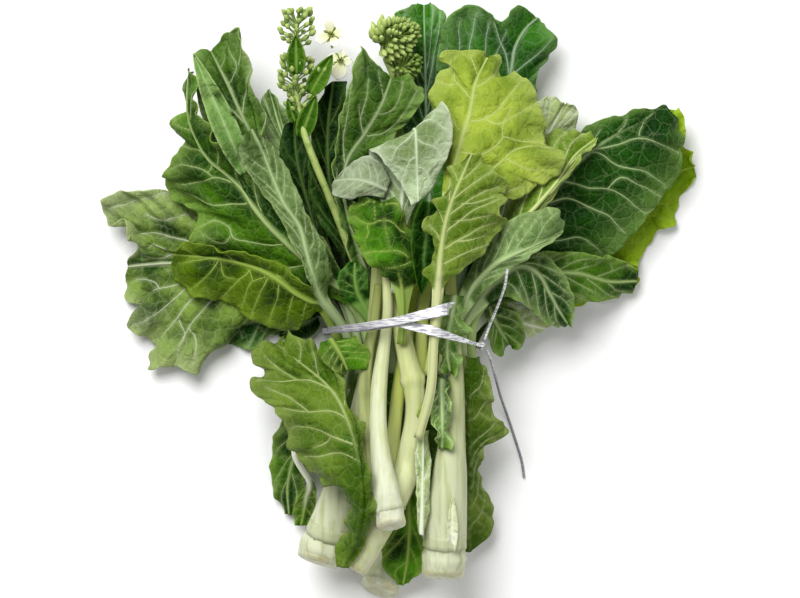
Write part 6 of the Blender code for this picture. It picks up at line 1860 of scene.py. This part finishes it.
def make_big_bud_head(path, radii, fine_pile):
    """The dense head at the top: long pale buds on its left, small ones upper right, dark ones below."""
    draw = random.Random(11)
    path, radii = fine_bud_stem("big_bud_head", path, radii, fine_pile)
    z = path[-1][2]
    bm = bmesh.new()
    layer = bm.verts.layers.float.new("tip")
    add_sheet(bm, tube_points(path, radii, 12, 0.04, draw), np.full(len(path), 0.3), layer)
    branch = bent_path(path[-1], (-9, 171, z + 1), (-2, 0, 0), 8)
    add_sheet(bm, tube_points(branch, np.linspace(2.4, 1.8, 8), 10), np.full(8, 0.4), layer)
    add_bud_cluster(bm, layer, (-13, 170, z + 1), (17, 8, 5), 105, 9.0, (12.5, 3.8), 1.0, draw)
    add_bud_cluster(bm, layer, (-4, 154, z), (9, 2, 3), 60, 9.5, (6.0, 3.8), 0.4, draw)
    head = object_from("big_bud_head", closed_sheets("head", bm), bpy.data.materials["green_bud"])
    place_piece(head, "big_bud_head")
    fine_pile.add(places_of(head))


def petal_points(spin, tilt, length, width):
    """One petal of a flower that faces +Z: a round, slightly cupped blade on a narrow claw."""
    t = np.linspace(0, 1, 12)[:, None]
    across = np.linspace(-1, 1, 9)[None, :]
    swell = np.sin(math.pi * np.clip(0.08 + 0.9 * t, 0, 1) ** 1.3) ** 0.6
    profile = width / 2 * (0.16 + 0.86 * swell * t**0.45)
    out = 0.6 + t * length - 0.12 * length * t * across**2
    x = across * profile
    z = out * math.tan(tilt) + 0.06 * x * x - 0.18 * length * t**2 + 0.25 * np.sin(7 * across + 9 * t) * t
    turned = x * math.cos(spin) - out * math.sin(spin), x * math.sin(spin) + out * math.cos(spin), z
    return np.stack(np.broadcast_arrays(*turned), axis=-1)


def flower_greens(tilt, turn):
    """What is green in a flower that faces +Z: four narrow sepals, six stamens round a pistil, a stem."""
    green = bmesh.new()
    layer = green.verts.layers.float.new("tip")
    for k in range(4):
        spin = turn + (k + 0.5) * math.pi / 2
        out = np.array([-math.sin(spin), math.cos(spin), 0])
        end = out * 5.5 + (0, 0, 5.5 * math.tan(tilt) - 0.8)
        line = bent_path((0, 0, -3), end, out * 1.2 - (0, 0, 0.6), 7)
        width = 1.1 * np.sin(math.pi * np.linspace(0.12, 0.97, 7)) ** 0.7
        add_sheet(green, tube_points(line, width, 6), np.linspace(0, 1, 7), layer)
    for k in range(7):
        pistil = k == 6
        spin = k * math.pi / 3
        out = np.array([math.cos(spin), math.sin(spin), 0]) * (0 if pistil else 1.8)
        tip = out + (0, 0, 3.6 + (1.2 if pistil else 0))
        line = bent_path((0, 0, -2), tip, out * 0.2, 6)
        width = np.array([0.3, 0.3, 0.28, 0.28, 0.5, 0.55]) * (1.8 if pistil else 1)
        add_sheet(green, tube_points(line, width, 6), np.linspace(0.4, 1.4, 6), layer)
    stem = bent_path((0.5, -9, -5), (0, 0, -2), (0, 0, -0.8), 8)
    add_sheet(green, tube_points(stem, np.linspace(0.8, 1.1, 8), 8), np.full(8, 0.5), layer)
    return closed_sheets("green", green)


def make_flower(name, x, y, tilt, turn, sizes, fine_pile, seed):
    """A white flower with four petals, at the height of its solid."""
    draw = random.Random(seed)
    petals = bmesh.new()
    layer = petals.verts.layers.float.new("tip")
    for k in range(4):
        points = petal_points(turn + k * math.pi / 2 + draw.uniform(-0.15, 0.15), tilt, *sizes[k])
        add_sheet(petals, points, np.linspace(0, 1, len(points)), layer)
    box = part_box(name)
    lift = (box[0][2] + box[1][2]) / 2 / MM
    flower = walled(object_from(name, mesh_of(name, petals), bpy.data.materials["white_petal"]), 0.35)
    greens = object_from(name + "_green", flower_greens(tilt, turn), bpy.data.materials["green_bud"])
    flower = joined_pieces(flower, [greens])
    flower.data.transform(Matrix.Translation((x * MM, y * MM, lift * MM)))
    place_piece(flower, name)
    fine_pile.add(places_of(flower))


def ribbon_points(line, widths, lean, draw):
    """A crumpled flat ribbon along a line; lean turns it about its own line."""
    heading = np.gradient(line, axis=0)
    heading /= np.linalg.norm(heading, axis=1)[:, None]
    flat = np.tile([0.0, 1.0, 0.0], (len(line), 1))
    flat -= (flat * heading).sum(axis=1)[:, None] * heading
    flat /= np.linalg.norm(flat, axis=1)[:, None]
    face = np.cross(heading, flat)
    across = np.cos(lean)[:, None] * flat + np.sin(lean)[:, None] * face
    normal = np.cross(heading, across)
    side = np.linspace(-0.5, 0.5, 13)
    length = distances(line)
    fold = 0.3 * np.abs(np.sin(side * 11))[None, :] + 0.16 * np.sin(side[None, :] * 19 + length[:, None] / 7)
    crush = fold * (0.6 + 0.4 * waves(length, (17, 11), draw))[:, None]
    aside = (widths[:, None] * side)[..., None] * across[:, None]
    return line[:, None] + aside + crush[..., None] * normal[:, None]


def even_line(corners, spacing):
    """A line through the corners at even steps, its corners slightly rounded."""
    corners = np.array(corners, float)
    ends = distances(corners)
    steps = np.linspace(0, ends[-1], round(ends[-1] / spacing) + 1)
    line = np.stack([np.interp(steps, ends, corners[:, axis]) for axis in range(3)], axis=1)
    inner = (line[:-2] + 2 * line[1:-1] + line[2:]) / 4
    return np.vstack([line[:1], inner, line[-1:]])


def make_ribbon(name, points):
    """A ribbon with a thin wall; a closed run is welded where it meets itself."""
    bm = bmesh.new()
    add_sheet(bm, points)
    return walled(object_from(name, closed_sheets(name, bm), bpy.data.materials["silvered_ribbon"]), 0.25)


def make_knot(knot):
    """The knot of the tie, a small trefoil of rolled ribbon."""
    t = np.linspace(0, 2 * math.pi, 40)
    turns = [np.sin(t) + 2 * np.sin(2 * t), np.cos(t) - 2 * np.cos(2 * t), -1.5 * np.sin(3 * t)]
    bm = bmesh.new()
    add_sheet(bm, tube_points(np.array(knot) + 0.75 * np.stack(turns, axis=1), np.full(40, 0.85), 8))
    return object_from("tie_knot", closed_sheets("knot", bm), bpy.data.materials["silvered_ribbon"])


def make_band(fine_pile, knot, draw):
    """The band round the bunch with its knot."""
    xs = np.linspace(TIE_LEFT[0], TIE_RIGHT[0] - 3, 105)
    top = taut_line(fine_pile, xs, band_y(xs))
    over = [(x, band_y(x), z) for x, z in zip(xs, np.interp(xs, *zip(*top)))] + [tuple(knot)]
    under = [(x, tie_y(x), TIE_FLOOR) for x in (TIE_RIGHT[0] - 3, 20, -15, TIE_LEFT[0] + 3)]
    line = [*over, (TIE_RIGHT[0], TIE_RIGHT[1], TIE_FLOOR + 3), *under, (*TIE_LEFT, TIE_FLOOR + 3), over[0]]
    line = even_line(line, 1.5)
    share = (line[:, 0] - TIE_LEFT[0]) / (TIE_RIGHT[0] - TIE_LEFT[0])
    high = line[:, 2] > TIE_FLOOR + 8
    widths = np.where(high, np.interp(share, *BAND_WIDTHS), RIBBON * 0.7)
    points = ribbon_points(line, widths, np.where(high, 0.35 * np.sin(share * 9), 0.0), draw)
    band = make_ribbon("tie_band", points)
    place_piece(joined_pieces(band, [make_knot(knot)]), "tie_band")
    add_band(fine_pile, top, band_y, 0.5)


def make_loose_end(fine_pile, draw):
    """The loose end that lies over the band, with its slanting cut."""
    xs = np.linspace(TIE_LEFT[0] + 4, LOOSE_ROUTE[0][-1], 80)
    ys = np.interp(xs, *LOOSE_ROUTE)
    loose = taut_line(fine_pile, xs, ys)
    line = even_line([(x, float(np.interp(x, xs, ys)), z) for x, z in loose], 1.5)
    share = np.linspace(0, 1, len(line))
    points = ribbon_points(line, np.interp(share, *LOOSE_WIDTHS), 0.25 * np.sin(share * 7), draw)
    points[-3:, :, 0] += np.linspace(-2.5, 3.0, 13)[None, :] * np.array([0.3, 0.65, 1.0])[:, None]
    place_piece(make_ribbon("tie_loose_end", points), "tie_loose_end")


def make_tail(name, path):
    """A free tail of the tie, a thin rolled strand of the ribbon."""
    curve = bpy.data.curves.new("fine_" + name, "CURVE")
    curve.dimensions = "3D"
    curve.bevel_depth = TAIL_RADIUS * MM
    curve.bevel_resolution = 3
    curve.use_fill_caps = True
    spline = curve.splines.new("POLY")
    spline.points.add(len(path) - 1)
    for point, place in zip(spline.points, path * MM):
        point.co = (*place, 1)
    curve.materials.append(bpy.data.materials["silvered_ribbon"])
    tail = bpy.data.objects.new("fine_" + name, curve)
    bpy.context.scene.collection.objects.link(tail)
    place_piece(tail, name)


def tail_path(name, pile):
    route = TAILS[name]
    length = sum(math.dist(a, b) for a, b in zip(route, route[1:]))
    path = along(route, np.linspace(0, 1, round(length / TAIL_STEP) + 1))
    return settle_path(pile, path, [TAIL_RADIUS] * len(path), TAIL_SLOPE)


def node_points(name):
    """The corners of a solid in millimetres."""
    return places_of(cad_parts[name])


def make_floor():
    """Plain pale paper under the bunch."""
    bm = bmesh.new()
    bmesh.ops.create_grid(bm, x_segments=1, y_segments=1, size=4)
    floor = bpy.data.objects.new("floor", mesh_of("floor", bm))
    floor.data.transform(Matrix.Translation((0, 0, -0.0004)))
    bpy.context.scene.collection.objects.link(floor)
    made, tree, shader, place = new_material("white_paper", Roughness=0.8)
    fibres = add_node(tree, "TexNoise", None, {"Vector": place, "Scale": 900.0, "Detail": 2.0}).outputs["Fac"]
    tree.links.new(colour_mix(tree, fibres, "#f8f8f8", "#fefefe"), shader.inputs["Base Color"])
    floor.data.materials.append(made)


def add_light(name, place, size, power):
    light = bpy.data.lights.new(name, "AREA")
    light.shape = "DISK"
    light.size = size
    light.energy = power
    lamp = bpy.data.objects.new(name, light)
    lamp.location = place
    lamp.rotation_euler = (-Vector(place)).to_track_quat("-Z", "Y").to_euler()
    bpy.context.scene.collection.objects.link(lamp)


def set_camera_and_light():
    """The camera looks straight down; a broad soft lamp stands beyond the leaves, a fainter one opposite."""
    camera = bpy.data.cameras.new("camera")
    camera.sensor_width = SENSOR
    camera.lens = SENSOR * (VIEW_HEIGHT - VIEW_LEVEL) / VIEW_WIDTH
    camera.clip_end = 20
    holder = bpy.data.objects.new("camera", camera)
    holder.location = (0, 0, VIEW_HEIGHT)
    bpy.context.scene.collection.objects.link(holder)
    bpy.context.scene.camera = holder
    add_light("key", (-0.8, 1.5, 2.6), 2.1, 113)
    add_light("fill", (1.6, -0.7, 2.2), 2.0, 14)
    world = bpy.data.worlds.new("studio")
    world.use_nodes = True
    world.node_tree.nodes["Background"].inputs["Color"].default_value = (1, 1, 0.98, 1)
    world.node_tree.nodes["Background"].inputs["Strength"].default_value = 0.3
    bpy.context.scene.world = world
    bpy.context.scene.view_settings.view_transform = "Standard"


def make_buds_and_flowers(pile, fine_pile):
    """The bud stems and flowers, which lie among the leaves of the middle."""
    for name, make in (("left_bud_spray", make_bud_spray), ("big_bud_head", make_big_bud_head)):
        path, radii = stalk_path(BUD_STEMS[name])
        start, width = BUD_HEADS[name][0]
        path = settle_path(pile, path, np.where(path[:, 1] > start, width, radii), STALK_SLOPE)
        make(path, radii, fine_pile)
    pile.add(node_points("big_bud_head"))
    for number, (name, flower) in enumerate(FLOWERS.items()):
        pile.add(node_points(name))
        make_flower(name, *flower, fine_pile, number)


def make_bunch():
    """Lays the solids again, which gives every piece its place, and makes each one's fine surface there."""
    pile, fine_pile = Pile(CELL, GAP), Pile(FINE_CELL, CLEAR)
    for each in (pile, fine_pile):
        lay_tie_underside(each)
    seed = 0
    for group in (LOW_PIECES, MIDDLE_PIECES, STALKS, HIGH_PIECES):
        if group is MIDDLE_PIECES:
            make_buds_and_flowers(pile, fine_pile)
        for name, piece in group.items():
            seed += 1
            if "rib" in piece:
                make_leaf(name, piece, lay_leaf(pile, piece, seed), fine_pile, seed)
                continue
            path, radii = stalk_path(piece)
            path = settle_path(pile, path, radii, STALK_SLOPE)
            path[:, 2] -= piece["sunk"] * np.clip((-70 - path[:, 1]) / 20, 0, 1)
            make_stalk(name, path, radii, fine_pile, seed)
    knot, draw = lay_coarse_tie(pile), random.Random(3)
    make_band(fine_pile, knot, draw)
    make_loose_end(fine_pile, draw)
    for name in TAILS:
        path = tail_path(name, pile)
        make_tail(name, settle_path(fine_pile, path, [TAIL_RADIUS] * len(path), TAIL_SLOPE))


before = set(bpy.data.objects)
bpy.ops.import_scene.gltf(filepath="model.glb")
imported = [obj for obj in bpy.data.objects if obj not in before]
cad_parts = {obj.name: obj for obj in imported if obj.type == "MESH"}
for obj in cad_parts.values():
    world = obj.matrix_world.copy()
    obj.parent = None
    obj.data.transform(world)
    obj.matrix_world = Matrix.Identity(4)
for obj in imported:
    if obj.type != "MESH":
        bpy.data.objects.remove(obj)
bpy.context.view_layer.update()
set_camera_and_light()
make_floor()
cut_material()
bud_material()
petal_material()
ribbon_material()
make_bunch()
